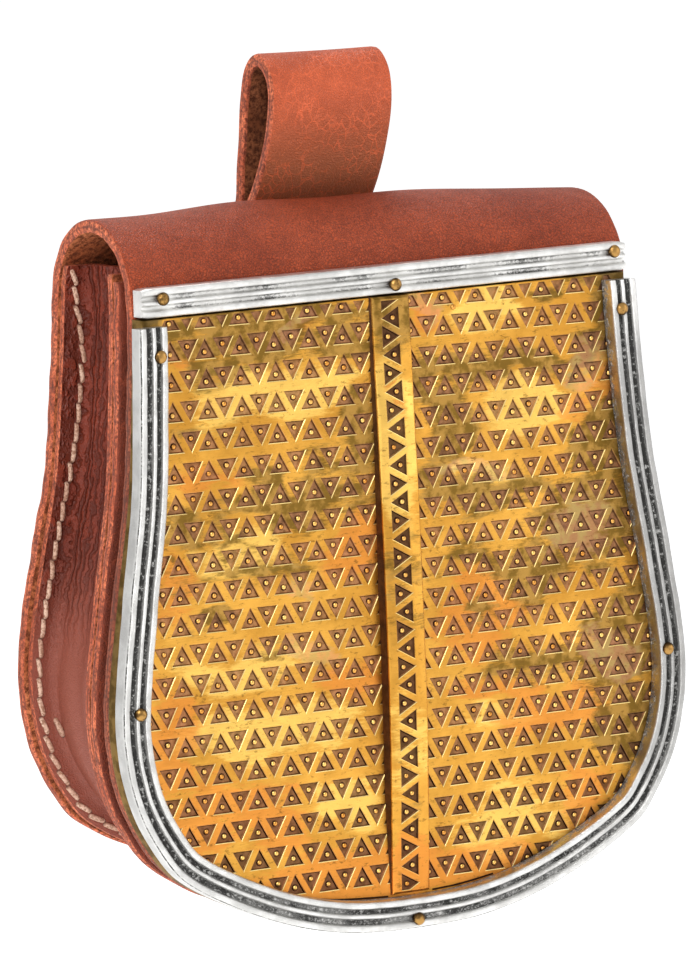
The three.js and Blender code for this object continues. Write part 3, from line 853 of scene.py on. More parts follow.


# Colours of the brass, placed one by one: x, rise, half width, half height, strength
BLOTCHES = {
    # olive tarnish; the patches high along the top, under the bar, and down the right edge, beside the
    # moulding, are painted shade
    "tarnish_and_shade": [
        (-31, 135, 30, 6, 0.8), (-36, 129, 20, 3.5, 0.9), (-11, 127, 12, 4, 0.8),
        (-46, 124, 8, 4, 0.8), (-47, 113, 11, 3, 0.6), (-13, 98, 14, 12, 0.6), (-8, 111, 6, 8, 0.85),
        (-35, 103, 7, 2.5, 0.8), (-30, 95.5, 18, 4, 0.9), (-50, 92, 6, 5, 0.9),
        (-34, 89, 11, 3, 0.7), (-32, 81, 28, 4, 0.55), (-46, 71.5, 6, 3.5, 0.9),
        (-32, 62, 5, 3, 0.8), (46, 137, 16, 3, 0.6), (51, 123, 8, 5, 0.6), (58, 127, 6, 13, 0.95),
        (12, 109, 9, 13, 0.9), (9, 119, 5, 8, 0.9), (30, 121, 28, 3.3, 0.95), (49, 85, 18, 14, 0.8),
        (34, 75, 12, 9, 0.8), (58, 57, 9, 14, 0.8), (18, 79, 11, 6, 0.6), (22, 93, 18, 5, 0.9),
        (20, 66, 9, 3, 0.6), (28, 54, 7, 4, 0.7), (52, 49, 14, 7, 0.75), (58, 38, 8, 9, 0.85),
        (38, 55, 14, 4, 0.6), (59, 108, 5, 30, 0.95), (55, 100, 8, 8, 0.9), (-58, 92, 5, 22, 0.5),
    ],
    "orange": [
        (-50, 130, 8, 5, 0.8), (-25, 132, 8, 3, 0.9), (-47, 102, 8, 5, 0.8), (-11, 84, 7, 8, 1.0),
        (-13, 56, 12, 6, 0.8), (-44, 29, 22, 11, 0.75), (-60, 46, 9, 18, 0.7), (-58, 80, 7, 12, 0.6),
        (-12, 12, 30, 8, 1.0), (8, 132, 5, 5, 0.8), (51, 111, 8, 8, 0.6), (20, 67, 16, 11, 0.8),
        (18, 9, 18, 9, 0.9), (44, 24, 12, 10, 0.6), (40, 43, 18, 6, 0.8), (22, 50, 12, 4, 0.8),
    ],
    # pale gold: partly the brass's own colour, partly painted highlight where the sheet catches the light
    "pale": [
        (-30, 119, 24, 7, 1.0), (-39, 85, 16, 6, 0.9), (-40, 60, 20, 5, 0.7), (-34, 47, 26, 7, 0.9),
        (-14, 29, 11, 7, 0.9), (22, 133, 12, 5, 0.9), (36, 111, 17, 7, 1.0), (22, 97, 12, 4, 0.8),
        (22, 44, 16, 4, 0.7), (29, 20, 18, 9, 0.7),
    ],
    "bloom": [
        (-24, 133, 6, 2, 0.9), (-22, 77, 5, 5, 0.8), (-25, 62, 7, 4, 0.9), (46, 83, 10, 8, 0.9),
        (54, 54, 9, 8, 0.9), (22, 98, 11, 3, 0.9), (49, 120, 8, 5, 0.8), (8, 135, 4, 3, 0.9),
    ],
}
STRIP_BLOTCHES = {
    "tarnish_and_shade": [(0, 136, 9, 11, 1.0), (0, 76, 9, 16, 0.5), (3, 24, 4, 8, 0.6)],
    "orange": [(2, 117, 2, 8, 0.7), (0, 10, 9, 12, 1.0)],
    "pale": [(0, 108, 9, 20, 1.0), (0, 40, 9, 16, 0.5)],
    "bloom": [],
}


def paint_blotches(piece, blotches, x, rise, rim):
    """Soft patches of each colour, some of them painted shade and painted highlight, with all of the rim
    tarnished dark.
    """
    drift_x = x + 3 * wander(81, 22, x, rise)
    drift_rise = rise + 2 * wander(82, 22, x, rise)
    for kind, rows in blotches.items():
        amount = np.zeros(len(x))
        for middle, height, wide, high, strength in rows:
            away = np.hypot((drift_x - middle) / wide, (drift_rise - height) / high)
            amount = np.maximum(amount, strength * (1 - smooth_step(0.3, 1.4, away)))
        paint(piece, kind, np.where(rim, RIM_TARNISH if kind == "tarnish_and_shade" else 0, amount))


# What repeats, by geometry nodes

def new_group(name, inputs, outputs, kind="ShaderNodeTree"):
    """An empty group of nodes, its inputs and outputs given by name and kind."""
    tree = bpy.data.node_groups.new(name, kind)
    for way, sockets in (("INPUT", inputs), ("OUTPUT", outputs)):
        for label, socket in sockets:
            tree.interface.new_socket(label, in_out=way, socket_type="NodeSocket" + socket)
    return tree, tree.nodes.new("NodeGroupInput").outputs, tree.nodes.new("NodeGroupOutput").inputs


def fill_input(tree, socket, value):
    if isinstance(value, bpy.types.NodeSocket):
        tree.links.new(value, socket)
    else:
        socket.default_value = value


def fill(tree, node, **inputs):
    """Links each named input of a node to a socket, or sets it to a value."""
    for name, value in inputs.items():
        fill_input(tree, node.inputs[name.replace("_", " ")], value)


def put(tree, kind, settings=None, **inputs):
    """A node with its settings and its named inputs."""
    made = tree.nodes.new(kind)
    for name, value in (settings or {}).items():
        setattr(made, name, value)
    fill(tree, made, **inputs)
    return made


def result(tree, kind, settings, *values):
    """The first output of a node whose inputs take the values in their order."""
    made = put(tree, kind, settings)
    for socket, value in zip(made.inputs, values):
        fill_input(tree, socket, value)
    return made.outputs[0]


def scaled_onto(tree, vector, scale, base):
    """A vector times a scale, added to a base."""
    return result(tree, "ShaderNodeVectorMath", {"operation": "MULTIPLY_ADD"}, vector, scale, base)


def random_vector(tree, seed):
    """A random vector for each place, each part of it between -1 and 1."""
    made = put(tree, "FunctionNodeRandomValue", {"data_type": "FLOAT_VECTOR"}, Seed=seed)
    low, high = [socket for socket in made.inputs if socket.enabled][:2]
    low.default_value = (-1, -1, -1)
    high.default_value = (1, 1, 1)
    return next(socket for socket in made.outputs if socket.enabled)


def grow_on(tree, given, out, points, rotation):
    """The end of both trees: the shape at every point, made real and given its finish."""
    shape = put(tree, "GeometryNodeObjectInfo", {"transform_space": "ORIGINAL"}, Object=given["Shape"])
    slanted = scaled_onto(tree, random_vector(tree, given["Seed"]), given["Tilt"], given["Slant"])
    lean = put(tree, "FunctionNodeEulerToRotation", Euler=slanted).outputs[0]
    turned = result(tree, "FunctionNodeRotateRotation", {"rotation_space": "LOCAL"}, rotation, lean)
    set_out = put(tree, "GeometryNodeInstanceOnPoints", Points=points, Instance=shape.outputs["Geometry"])
    fill(tree, set_out, Rotation=turned)
    real = put(tree, "GeometryNodeRealizeInstances", Geometry=set_out.outputs[0])
    coloured = put(tree, "GeometryNodeSetMaterial", Geometry=real.outputs[0], Material=given["Finish"])
    tree.links.new(coloured.outputs[0], out["Geometry"])


def direction(tree, name):
    """A vector that the points carry."""
    as_vector = {"data_type": "FLOAT_VECTOR"}
    return put(tree, "GeometryNodeInputNamedAttribute", as_vector, Name=name).outputs[0]


GEOMETRY = ("Geometry", "Geometry")
GROW_INPUTS = [
    GEOMETRY, ("Shape", "Object"), ("Tilt", "Vector"), ("Slant", "Vector"), ("Seed", "Int"),
    ("Finish", "Material"),
]


def places_tree():
    """Sets a shape on each point of a mesh, turned as the point says."""
    tree, given, out = new_group("set_on_places", GROW_INPUTS, [GEOMETRY], "GeometryNodeTree")
    turn = put(tree, "FunctionNodeEulerToRotation", Euler=direction(tree, "turn"))
    grow_on(tree, given, out, given["Geometry"], turn.outputs[0])
    return tree


def seam_tree():
    """Sets a stitch at every pitch along a line, lying on the face that the line's points name."""
    inputs = GROW_INPUTS + [("Pitch", "Float")]
    tree, given, out = new_group("stitch_along", inputs, [GEOMETRY], "GeometryNodeTree")
    line = put(tree, "GeometryNodeMeshToCurve", Mesh=given["Geometry"]).outputs[0]
    by_length = {"mode": "LENGTH"}
    even = put(tree, "GeometryNodeResampleCurve", by_length, Curve=line, Length=given["Pitch"])
    along = put(tree, "GeometryNodeInputTangent").outputs[0]
    aim = put(tree, "FunctionNodeAlignRotationToVector", {"axis": "X"}, Vector=along).outputs[0]
    about_x = {"axis": "Z", "pivot_axis": "X"}
    face = direction(tree, "facing")
    up = put(tree, "FunctionNodeAlignRotationToVector", about_x, Vector=face, Rotation=aim)
    grow_on(tree, given, out, even.outputs[0], up.outputs[0])
    return tree


def grown(name, tree, source, values):
    """The tree's result on a source mesh, as a plain mesh object."""
    piece = bpy.data.objects.new(name, source)
    change = piece.modifiers.new("grow", "NODES")
    change.node_group = tree
    for item in tree.interface.items_tree:
        if item.in_out == "INPUT" and item.name in values:
            change[item.identifier] = values[item.name]
    bpy.context.scene.collection.objects.link(piece)
    evaluated = piece.evaluated_get(bpy.context.evaluated_depsgraph_get())
    plain = bpy.data.meshes.new_from_object(evaluated)
    piece.modifiers.clear()
    piece.data = plain
    plain.name = name
    bpy.data.objects.remove(values["Shape"])
    return piece


def vector_paint(mesh, name, values):
    attribute = mesh.attributes.new(name, "FLOAT_VECTOR", "POINT")
    attribute.data.foreach_set("vector", np.asarray(values, np.float32).ravel())


def place_mesh(points, turns):
    mesh = bpy.data.meshes.new("places")
    mesh.from_pydata((np.asarray(points) * MM).tolist(), [], [])
    vector_paint(mesh, "turn", turns)
    return mesh


def line_mesh(lines, facings):
    """One mesh of open lines, each with the direction that its face looks in."""
    mesh = bpy.data.meshes.new("seams")
    points = np.vstack(lines) * MM
    edges = []
    start = 0
    for line in lines:
        edges += [(start + k, start + k + 1) for k in range(len(line) - 1)]
        start += len(line)
    mesh.from_pydata(points.tolist(), edges, [])
    vector_paint(mesh, "facing", np.vstack(facings))
    return mesh


def turned_shape(name, profile, sides):
    """A small closed shape turned round Z from radius, height rows, the last at the top of the axis."""
    angles = np.linspace(0, 2 * math.pi, sides, endpoint=False)
    points = [(r * math.cos(a), r * math.sin(a), h) for r, h in profile[:-1] for a in angles]
    points.append((0, 0, profile[-1][1]))
    rows = len(profile) - 1
    faces = [tuple(reversed(range(sides)))]
    for k in range(rows - 1):
        for i in range(sides):
            j = (i + 1) % sides
            faces.append((k * sides + i, k * sides + j, (k + 1) * sides + j, (k + 1) * sides + i))
    last = (rows - 1) * sides
    faces += [(last + i, last + (i + 1) % sides, len(points) - 1) for i in range(sides)]
    shape = finished(name, points, faces, [], crease=60)
    height = [(h - profile[0][1]) / (profile[-1][1] - profile[0][1]) for _, _, h in points]
    paint(shape, "worn", height)
    return shape


FLAP_TURN = (math.pi / 2 - FLAP_LEAN, 0, 0)  # turns +Z of a shape out of the flap's face
INSIDE_TURN = (-math.pi / 2 - FLAP_LEAN, 0, 0)


def pellets(name, finish, tree, stamps, lift):
    """A pellet in every triangle, its top level with the brass around it."""
    shape = turned_shape("pellet", PELLET_PROFILE, 8)
    where = np.array([pellet for pellet, _ in stamps])
    depth = STAMP_DEPTH + lift(where)
    places = on_flap(where[:, 0], depth, where[:, 1])
    turns = np.tile(FLAP_TURN, (len(places), 1))
    values = {"Shape": shape, "Tilt": (0.05, 0.05, 3.0), "Seed": 5, "Finish": finish}
    return grown(name, tree, place_mesh(places, turns), values)


def rivets(finish, tree):
    """Domed heads on the metal, and the same rivets' burrs inside the flap."""
    shape = turned_shape("rivet", RIVET_PROFILE, 20)
    places = []
    turns = []
    for _, x, rise, proud in RIVETS:
        up = max(rise + RIVET_HEAD - ARCH_RISE, 0)
        away = arch_radius - LEATHER - math.sqrt((arch_radius - LEATHER) ** 2 - up**2)
        places += [on_flap(x, -proud, rise), on_flap(x, FLAP_FACE + LEATHER + away, rise)]
        turns += [FLAP_TURN, INSIDE_TURN]
    values = {"Shape": shape, "Tilt": (0.06, 0.06, 3.0), "Seed": 8, "Finish": finish}
    return grown("rivets", tree, place_mesh(np.vstack(places), turns), values)


def stitch_shape():
    """One stitch along X: a round thread that dips into the leather at both ends."""
    share = np.linspace(-1, 1, 7)
    sides = 6
    rings = []
    for s in share:
        thick = STITCH_THICK / 2 * (1 - 0.35 * abs(s) ** 3)
        lift = 0.34 - 0.7 * abs(s) ** 4
        angles = np.linspace(0, 2 * math.pi, sides, endpoint=False)
        y = thick * np.cos(angles)
        z = 0.8 * thick * np.sin(angles) + lift
        rings.append(np.column_stack([np.full(sides, s * STITCH_LENGTH / 2), y, z]))
    points, faces = sweep(np.array(rings))
    shape = finished("stitch", points, faces, [], crease=80)
    # share along the stitch, lowest at the ends, where the thread finish paints shade
    paint(shape, "worn", np.repeat(1 - np.abs(share) ** 3, sides))
    return shape


def seam_lines():
    """Stitch lines as points and facings: both seams of the gusset on both faces, and the strap's box."""
    edge, inward = outline(GUSSET_TOP - 2.5, 1.0)
    rises, insets = zip(*SEAM_INSET)
    line = edge + inward * np.interp(edge[:, 1], rises, insets)[:, None]
    fore = edge + inward * FRONT_SEAM_INSET
    rear = flange_faces(line[:, 1])[0]
    front = flange_faces(fore[:, 1])[1]
    ahead = np.tile([0, -1, 0], (len(line), 1))
    behind = -ahead
    low = line[:, 1] < ARCH_RISE - 2
    lifted = line[:, 1] + back_lift(line[:, 1]) - HANG
    lines = [
        np.column_stack([line[:, 0], rear, lifted]),
        np.column_stack([line[:, 0], np.full(len(line), BACK_FACE), lifted])[low],
        np.column_stack([fore[:, 0], front, fore[:, 1] - HANG]),
        on_flap(fore[:, 0], PANEL_FACE, fore[:, 1]),
    ]
    facings = [ahead, behind[low], behind, ahead]
    rear_of_strap = STRAP_LINE[-1][0] + LEATHER / 2
    box = resampled(np.array(STRAP_BOX, float), 1.0)
    lines.append(np.column_stack([box[:, 0], np.full(len(box), rear_of_strap), box[:, 1]]))
    facings.append(np.tile([0, 1, 0], (len(box), 1)))
    lines.append(np.array(STRAY_STITCH))
    facings.append(np.tile(STRAY_FACING, (2, 1)))
    return lines, facings


def stitches(finish, tree):
    lines, facings = seam_lines()
    values = {
        "Shape": stitch_shape(),
        "Tilt": (0.05, 0.04, 0.1),
        "Slant": (0, 0, STITCH_SLANT),
        "Seed": 12,
        "Finish": finish,
        "Pitch": STITCH_PITCH * MM,
    }
    return grown("stitches", tree, line_mesh(lines, facings), values)


# Finishes

def colour(red, green, blue):
    """A colour as seen on a screen, 0 to 255, for a shader."""
    seen = [c / 255 for c in (red, green, blue)]
    return tuple(c / 12.92 if c <= 0.04045 else ((c + 0.055) / 1.055) ** 2.4 for c in seen) + (1.0,)


def new_finish(name):
    finish = bpy.data.materials.new(name)
    finish.use_nodes = True
    tree = finish.node_tree
    surface = tree.nodes["Principled BSDF"]
    place = put(tree, "ShaderNodeTexCoord").outputs["Object"]
    return finish, tree, surface, place


def blend(tree, share, a, b):
    """Colour a turned into colour b by a share."""
    made = put(tree, "ShaderNodeMix", {"data_type": "RGBA"})
    for number, value in zip((0, 6, 7), (share, a, b)):
        fill_input(tree, made.inputs[number], value)
    return made.outputs[2]


def calc(tree, way, *values):
    return result(tree, "ShaderNodeMath", {"operation": way}, *values)


def times(tree, a, b):
    return calc(tree, "MULTIPLY", a, b)


def plus(tree, a, b):
    return calc(tree, "ADD", a, b)


def less(tree, a, b):
    return calc(tree, "SUBTRACT", a, b)


def span(tree, value, low, high, start=0.0, end=1.0):
    """Eases from start to end while a value goes from low to high."""
    eased = {"interpolation_type": "SMOOTHSTEP"}
    limits = {"From Min": low, "From Max": high, "To Min": start, "To Max": end}
    return put(tree, "ShaderNodeMapRange", eased, Value=value, **limits).outputs[0]


def cloud(tree, place, scale, detail=3.0, rough=0.55):
    made = put(tree, "ShaderNodeTexNoise", Vector=place, Scale=scale, Detail=detail, Roughness=rough)
    return made.outputs[0]


def warped(tree, place, scale, reach):
    """Places moved about by noise of that scale, by up to that reach."""
    drift = put(tree, "ShaderNodeTexNoise", Vector=place, Scale=scale, Detail=3.0).outputs["Color"]
    return scaled_onto(tree, drift, (reach, reach, reach), place)


def cell_edges(tree, place, scale):
    """Distance to the nearest edge in a net of cells."""
    to_edge = {"feature": "DISTANCE_TO_EDGE"}
    return put(tree, "ShaderNodeTexVoronoi", to_edge, Vector=place, Scale=scale).outputs["Distance"]


def stretched(tree, place, scale):
    return put(tree, "ShaderNodeMapping", Vector=place, Scale=scale).outputs[0]


def painted(tree, name):
    return put(tree, "ShaderNodeAttribute", {"attribute_name": name}).outputs["Fac"]


def bump(tree, surface, height, distance, strength):
    made = put(tree, "ShaderNodeBump", Height=height, Distance=distance, Strength=strength)
    fill(tree, surface, Normal=made.outputs[0])


def use_group(tree, group, **inputs):
    return put(tree, "ShaderNodeGroup", {"node_tree": group}, **inputs).outputs


def grain_group():
    """Leather grain: small pebbles as a height, a slow mottle of the dye, and a net of fine pale veins."""
    inputs = [("Place", "Vector"), ("Pebbles", "Float")]
    outputs = [("Height", "Float"), ("Mottle", "Float"), ("Vein", "Float")]
    tree, given, out = new_group("leather_grain", inputs, outputs)
    place = given["Place"]
    pebble = cell_edges(tree, warped(tree, place, 420.0, 0.0022), given["Pebbles"])
    pores = cloud(tree, place, times(tree, given["Pebbles"], 1.7), 3.0, 0.5)
    high = plus(tree, times(tree, span(tree, pebble, 0.0, 0.3), 0.5), times(tree, pores, 0.8))
    tree.links.new(high, out["Height"])
    broad = cloud(tree, place, 43.0, 4.0)
    patch = cloud(tree, place, 285.0)
    total = plus(tree, broad, times(tree, patch, 0.5))
    tree.links.new(span(tree, total, 0.5, 1.0), out["Mottle"])
    drawn = stretched(tree, warped(tree, place, 180.0, 0.0034), (1.0, 1.0, 0.6))
    line = span(tree, cell_edges(tree, drawn, 480.0), 0.0, 0.08, 1.0, 0.0)
    here = span(tree, cloud(tree, place, 120.0, 5.0), 0.36, 0.6)
    tree.links.new(times(tree, line, here), out["Vein"])
    return tree


def crease_group():
    """Creases along the height of soft leather: how high each spot stands."""
    tree, given, out = new_group("creases", [("Place", "Vector")], [("Height", "Float")])
    along_y = {"bands_direction": "Y"}
    bend = {"Distortion": 9.0, "Detail": 3.0, "Detail Scale": 1.2, "Detail Roughness": 0.65}
    drawn = stretched(tree, given["Place"], (1.0, 1.0, 0.8))
    folds = put(tree, "ShaderNodeTexWave", along_y, Vector=drawn, Scale=190.0, **bend).outputs["Fac"]
    total = plus(tree, times(tree, folds, 0.6), cloud(tree, given["Place"], 210.0))
    tree.links.new(span(tree, total, 0.5, 1.0), out["Height"])
    return tree


def wear_group():
    """Wear on metal: soft clouds, and fine scratches."""
    inputs = [("Place", "Vector"), ("Size", "Float")]
    tree, given, out = new_group("metal_wear", inputs, [("Cloud", "Float"), ("Scratch", "Float")])
    soft = cloud(tree, given["Place"], given["Size"], 5.0, 0.62)
    tree.links.new(span(tree, soft, 0.36, 0.64), out["Cloud"])
    drawn = stretched(tree, given["Place"], (1.0, 1.0, 12.0))
    tree.links.new(cloud(tree, drawn, times(tree, given["Size"], 9.0), 2.0, 0.5), out["Scratch"])
    return tree


PEBBLES = 1700.0  # to a metre of leather
# dark dye in the pores of the grain; in creases it is painted shade
PORE_DYE_AND_CREASE_SHADE = (0.02, 0.005, 0.003, 1)


def grain_leather(name, group, light, dark, rough, depth, veins=0.15, low=None, creases=None):
    """The grain side of leather, with painted light in the colour it turns to further down, and creases
    above that, if any, with painted shade in them.
    """
    finish, tree, surface, place = new_finish(name)
    grain = use_group(tree, group, Place=place, Pebbles=PEBBLES)
    tone = blend(tree, grain["Mottle"], dark, light)
    if low is not None:
        colour_low, start, end = low
        height = put(tree, "ShaderNodeSeparateXYZ", Vector=place).outputs["Z"]
        lower = span(tree, height, end, start, 1.0, 0.0)
        # painted light: the colour further down is shade on the strap and a sheen on the gusset
        tone = blend(tree, lower, tone, colour_low)
    deep = blend(tree, depth, tone, PORE_DYE_AND_CREASE_SHADE)
    tone = blend(tree, span(tree, grain["Height"], 0.3, 0.8), deep, tone)
    tone = blend(tree, times(tree, grain["Vein"], veins), tone, colour(240, 112, 68))
    high = times(tree, grain["Height"], 0.3 + depth)
    if creases is not None:
        folds = use_group(tree, creases, Place=place)["Height"]
        sunk = times(tree, less(tree, 1.0, lower), less(tree, 1.0, folds))
        # painted shade in the creases
        tone = blend(tree, times(tree, sunk, 0.42), tone, PORE_DYE_AND_CREASE_SHADE)
        high = less(tree, high, times(tree, sunk, 2.0))
    gloss = span(tree, grain["Mottle"], 0.0, 1.0, rough + 0.08, rough - 0.06)
    fill(tree, surface, Base_Color=tone, Roughness=gloss, Specular_IOR_Level=0.3)
    bump(tree, surface, high, 0.0006, 0.7)
    return finish


def raw_edge():
    """The cut edge of leather: light fibres, dark along the middle and in speckled streaks."""
    finish, tree, surface, place = new_finish("leather_raw_edge")
    middle = calc(tree, "ABSOLUTE", less(tree, painted(tree, "through"), 0.55))
    warp = cloud(tree, place, 260.0)
    line = span(tree, plus(tree, middle, times(tree, warp, 0.3)), 0.12, 0.3, 1.0, 0.0)
    fibre = cloud(tree, place, 1400.0, 4.0, 0.7)
    patch = cloud(tree, place, 120.0)
    light = blend(tree, span(tree, patch, 0.35, 0.65), colour(200, 96, 60), colour(234, 126, 84))
    fibres = blend(tree, span(tree, fibre, 0.36, 0.62), colour(120, 54, 34), light)
    streak = span(tree, cloud(tree, stretched(tree, place, (3.0, 3.0, 1.0)), 330.0), 0.52, 0.66)
    darker = calc(tree, "MAXIMUM", times(tree, line, 0.8), times(tree, streak, 0.7))
    tone = blend(tree, darker, fibres, colour(88, 42, 30))
    # painted shade where the piece carries it
    tone = blend(tree, times(tree, painted(tree, "painted_shade"), 0.6), tone, colour(80, 40, 26))
    fill(tree, surface, Base_Color=tone, Roughness=0.78)
    bump(tree, surface, fibre, 0.0003, 0.8)
    return finish


def flesh_side():
    """The suede inside of the leather."""
    finish, tree, surface, place = new_finish("leather_flesh_side")
    nap = cloud(tree, place, 900.0, 5.0, 0.75)
    broad = cloud(tree, place, 90.0)
    tone = blend(tree, span(tree, broad, 0.3, 0.7), colour(178, 98, 60), colour(236, 146, 98))
    fluff = blend(tree, span(tree, nap, 0.38, 0.62), colour(104, 55, 34), tone)
    # painted shade where the piece carries it
    fluff = blend(tree, painted(tree, "painted_shade"), fluff, colour(62, 34, 21))
    fill(tree, surface, Base_Color=fluff, Roughness=0.95, Specular_IOR_Level=0.15)
    bump(tree, surface, nap, 0.0005, 0.9)
    return finish


def brass(wear):
    """Golden brass brushed from side to side, with patches of each painted colour, some of them painted
    shade and painted highlight, and recesses with patina on their floors, painted shade on their walls and a
    painted glint on their rims.
    """
    finish, tree, surface, place = new_finish("brass_sheet_finish")
    worn = use_group(tree, wear, Place=place, Size=55.0)
    streak = cloud(tree, stretched(tree, place, (1.0, 1.0, 3.2)), 95.0, 6.0, 0.66)
    brushed = cloud(tree, stretched(tree, place, (1.0, 1.0, 8.0)), 420.0)
    loose = plus(tree, times(tree, streak, 1.5), times(tree, brushed, 0.4))

    def patch(kind, most):
        total = plus(tree, painted(tree, kind), less(tree, loose, 0.95))
        return span(tree, total, 0.3, 0.62, 0.0, most)

    hue = span(tree, cloud(tree, place, 330.0, 4.0), 0.4, 0.6)
    face = blend(tree, worn["Cloud"], colour(208, 148, 58), colour(232, 172, 74))
    # pale gold patches: partly the brass's own colour, partly painted highlight
    face = blend(tree, patch("pale", 0.85), face, colour(254, 206, 104))
    face = blend(tree, patch("orange", 0.7), face, colour(228, 142, 62))
    olive = blend(tree, hue, colour(116, 90, 38), colour(178, 138, 70))
    oldest = span(tree, painted(tree, "tarnish_and_shade"), 1.0, 1.5)
    olive = blend(tree, oldest, olive, blend(tree, hue, colour(60, 52, 30), colour(118, 98, 60)))
    # olive tarnish, and the painted shade that the same patches carry
    dimmed = patch("tarnish_and_shade", 0.9)
    face = blend(tree, dimmed, face, olive)
    shimmer = blend(tree, hue, colour(232, 166, 130), colour(176, 168, 122))
    face = blend(tree, patch("bloom", 0.35), face, shimmer)
    blots = cloud(tree, stretched(tree, place, (1.0, 1.0, 2.0)), 520.0, 5.0, 0.7)
    face = blend(tree, span(tree, blots, 0.55, 0.7, 0.0, 0.7), face, colour(120, 84, 36))
    # the recesses: patina on their floors, painted shade on their walls, and a painted glint on rims that
    # face up or left
    recess = painted(tree, "patina_shade_and_glint")
    speckle = cloud(tree, place, 700.0, 4.0)
    brown = blend(tree, span(tree, speckle, 0.3, 0.75), colour(114, 77, 58), colour(186, 132, 98))
    toned = blend(tree, span(tree, recess, 0.0, 0.6), face, blend(tree, 0.2, brown, face))
    toned = blend(tree, span(tree, recess, 0.6, 1.0), toned, colour(58, 37, 26))
    glint = span(tree, recess, 0.0, -0.25)
    toned = blend(tree, glint, toned, colour(255, 226, 150))
    rough = calc(tree, "MULTIPLY_ADD", dimmed, 0.16, 0.34)
    rough = plus(tree, rough, span(tree, recess, 0.0, 1.0, 0.0, 0.2))
    fill(tree, surface, Base_Color=toned, Metallic=1.0, Roughness=rough)
    dents = plus(tree, cloud(tree, place, 160.0, 2.0), times(tree, brushed, 0.2))
    bump(tree, surface, dents, 0.0005, 0.4)
    return finish


def silver(wear):
    """Polished white metal, its grooves black and pitted, with painted shade down its side walls."""
    finish, tree, surface, place = new_finish("silver_cast")
    worn = use_group(tree, wear, Place=place, Size=140.0)
    pits = cloud(tree, place, 1100.0, 3.0, 0.7)
    bright = blend(tree, worn["Cloud"], colour(208, 207, 204), colour(240, 239, 236))
    loose = plus(tree, times(tree, pits, 0.9), times(tree, worn["Cloud"], 0.2))
    # patina in the grooves, painted shade down the side walls
    ragged = plus(tree, painted(tree, "patina_and_wall_shade"), less(tree, loose, 0.55))
    # greyer where it is dimmed
    bright = blend(tree, painted(tree, "dimmed"), bright, colour(128, 127, 125))
    dark = span(tree, ragged, 0.55, 0.85)
    soot = blend(tree, span(tree, pits, 0.52, 0.68), colour(46, 45, 43), colour(186, 185, 182))
    tone = blend(tree, dark, bright, soot)
    metallic = span(tree, dark, 0.0, 1.0, 1.0, 0.4)
    rough = calc(tree, "MULTIPLY_ADD", dark, 0.3, 0.33)
    fill(tree, surface, Base_Color=tone, Metallic=metallic, Roughness=rough)
    bump(tree, surface, plus(tree, pits, worn["Scratch"]), 0.0003, 0.4)
    return finish


def rivet_brass(wear):
    finish, tree, surface, place = new_finish("rivet_brass_dull")
    clouds = use_group(tree, wear, Place=place, Size=320.0)["Cloud"]
    rubbed = times(tree, painted(tree, "worn"), span(tree, clouds, 0.0, 1.0, 1.25, 0.65))
    tone = blend(tree, span(tree, rubbed, 0.45, 0.95), colour(66, 47, 26), colour(180, 138, 78))
    rough = span(tree, clouds, 0.0, 1.0, 0.32, 0.5)
    fill(tree, surface, Base_Color=tone, Metallic=1.0, Roughness=rough)
    bump(tree, surface, clouds, 0.0001, 0.4)
    return finish


def pellet_brass(wear):
    finish, tree, surface, place = new_finish("pellet_brass")
    clouds = use_group(tree, wear, Place=place, Size=90.0)["Cloud"]
    top = span(tree, painted(tree, "worn"), 0.3, 0.72)
    gold = blend(tree, clouds, colour(214, 146, 66), colour(250, 206, 118))
    tone = blend(tree, top, colour(78, 48, 38), gold)
    fill(tree, surface, Base_Color=tone, Metallic=1.0, Roughness=span(tree, top, 0.0, 1.0, 0.55, 0.3))
    return finish


def thread():
    """Waxed thread, with painted shade where it dips into its holes."""
    finish, tree, surface, place = new_finish("waxed_thread")
    ply = cloud(tree, place, 1800.0, 2.0)
    soil = cloud(tree, place, 150.0)
    tone = blend(tree, span(tree, soil, 0.35, 0.7), colour(228, 192, 168), colour(200, 156, 132))
    tone = blend(tree, span(tree, ply, 0.35, 0.6), colour(160, 116, 92), tone)
    # painted shade towards the ends, where the thread dips into its holes
    tone = blend(tree, span(tree, painted(tree, "worn"), 0.05, 0.6), colour(96, 52, 38), tone)
    fill(tree, surface, Base_Color=tone, Roughness=0.7)
    bump(tree, surface, ply, 0.0003, 0.8)
    return finish


def pale_floor():
    finish, tree, surface, place = new_finish("pale_floor")
    tone = blend(tree, cloud(tree, place, 3.0), (0.9, 0.9, 0.9, 1), (0.93, 0.93, 0.93, 1))
    fill(tree, surface, Base_Color=tone, Roughness=0.9)
    fill(tree, surface, Emission_Color=(1, 1, 1, 1), Emission_Strength=0.45)
    return finish


# The pouch

grain = grain_group()
wear = wear_group()
edge_finish = raw_edge()
flesh_finish = flesh_side()
body_grain = grain_leather("leather_grain", grain, colour(184, 78, 40), colour(154, 62, 32), 0.5, 0.6, 0.1)
# the front panel's grain as a darker copy: painted shade for its face in the gap behind the flap
shaded_panel_grain = grain_leather("shaded_panel_grain", grain, colour(140, 62, 40), colour(112, 48, 31), 0.6, 0.28)
# the strap turns browner further down: painted shade
strap_low_shade = (colour(160, 91, 58), -0.003, -0.028)
strap_tones = (colour(210, 96, 56), colour(176, 77, 44))
strap_grain = grain_leather("strap_grain", grain, *strap_tones, 0.46, 0.25, 0.5, strap_low_shade)
# the gusset turns paler further down: a painted sheen
gusset_low_sheen = (colour(152, 84, 68), -0.098, -0.13)
soft_tones = (colour(150, 63, 42), colour(118, 48, 32))
soft_grain = grain_leather("gusset_grain", grain, *soft_tones, 0.38, 0.1, 0.0, gusset_low_sheen, crease_group())
sheet_finish = brass(wear)
silver_finish = silver(wear)
thread_finish = thread()

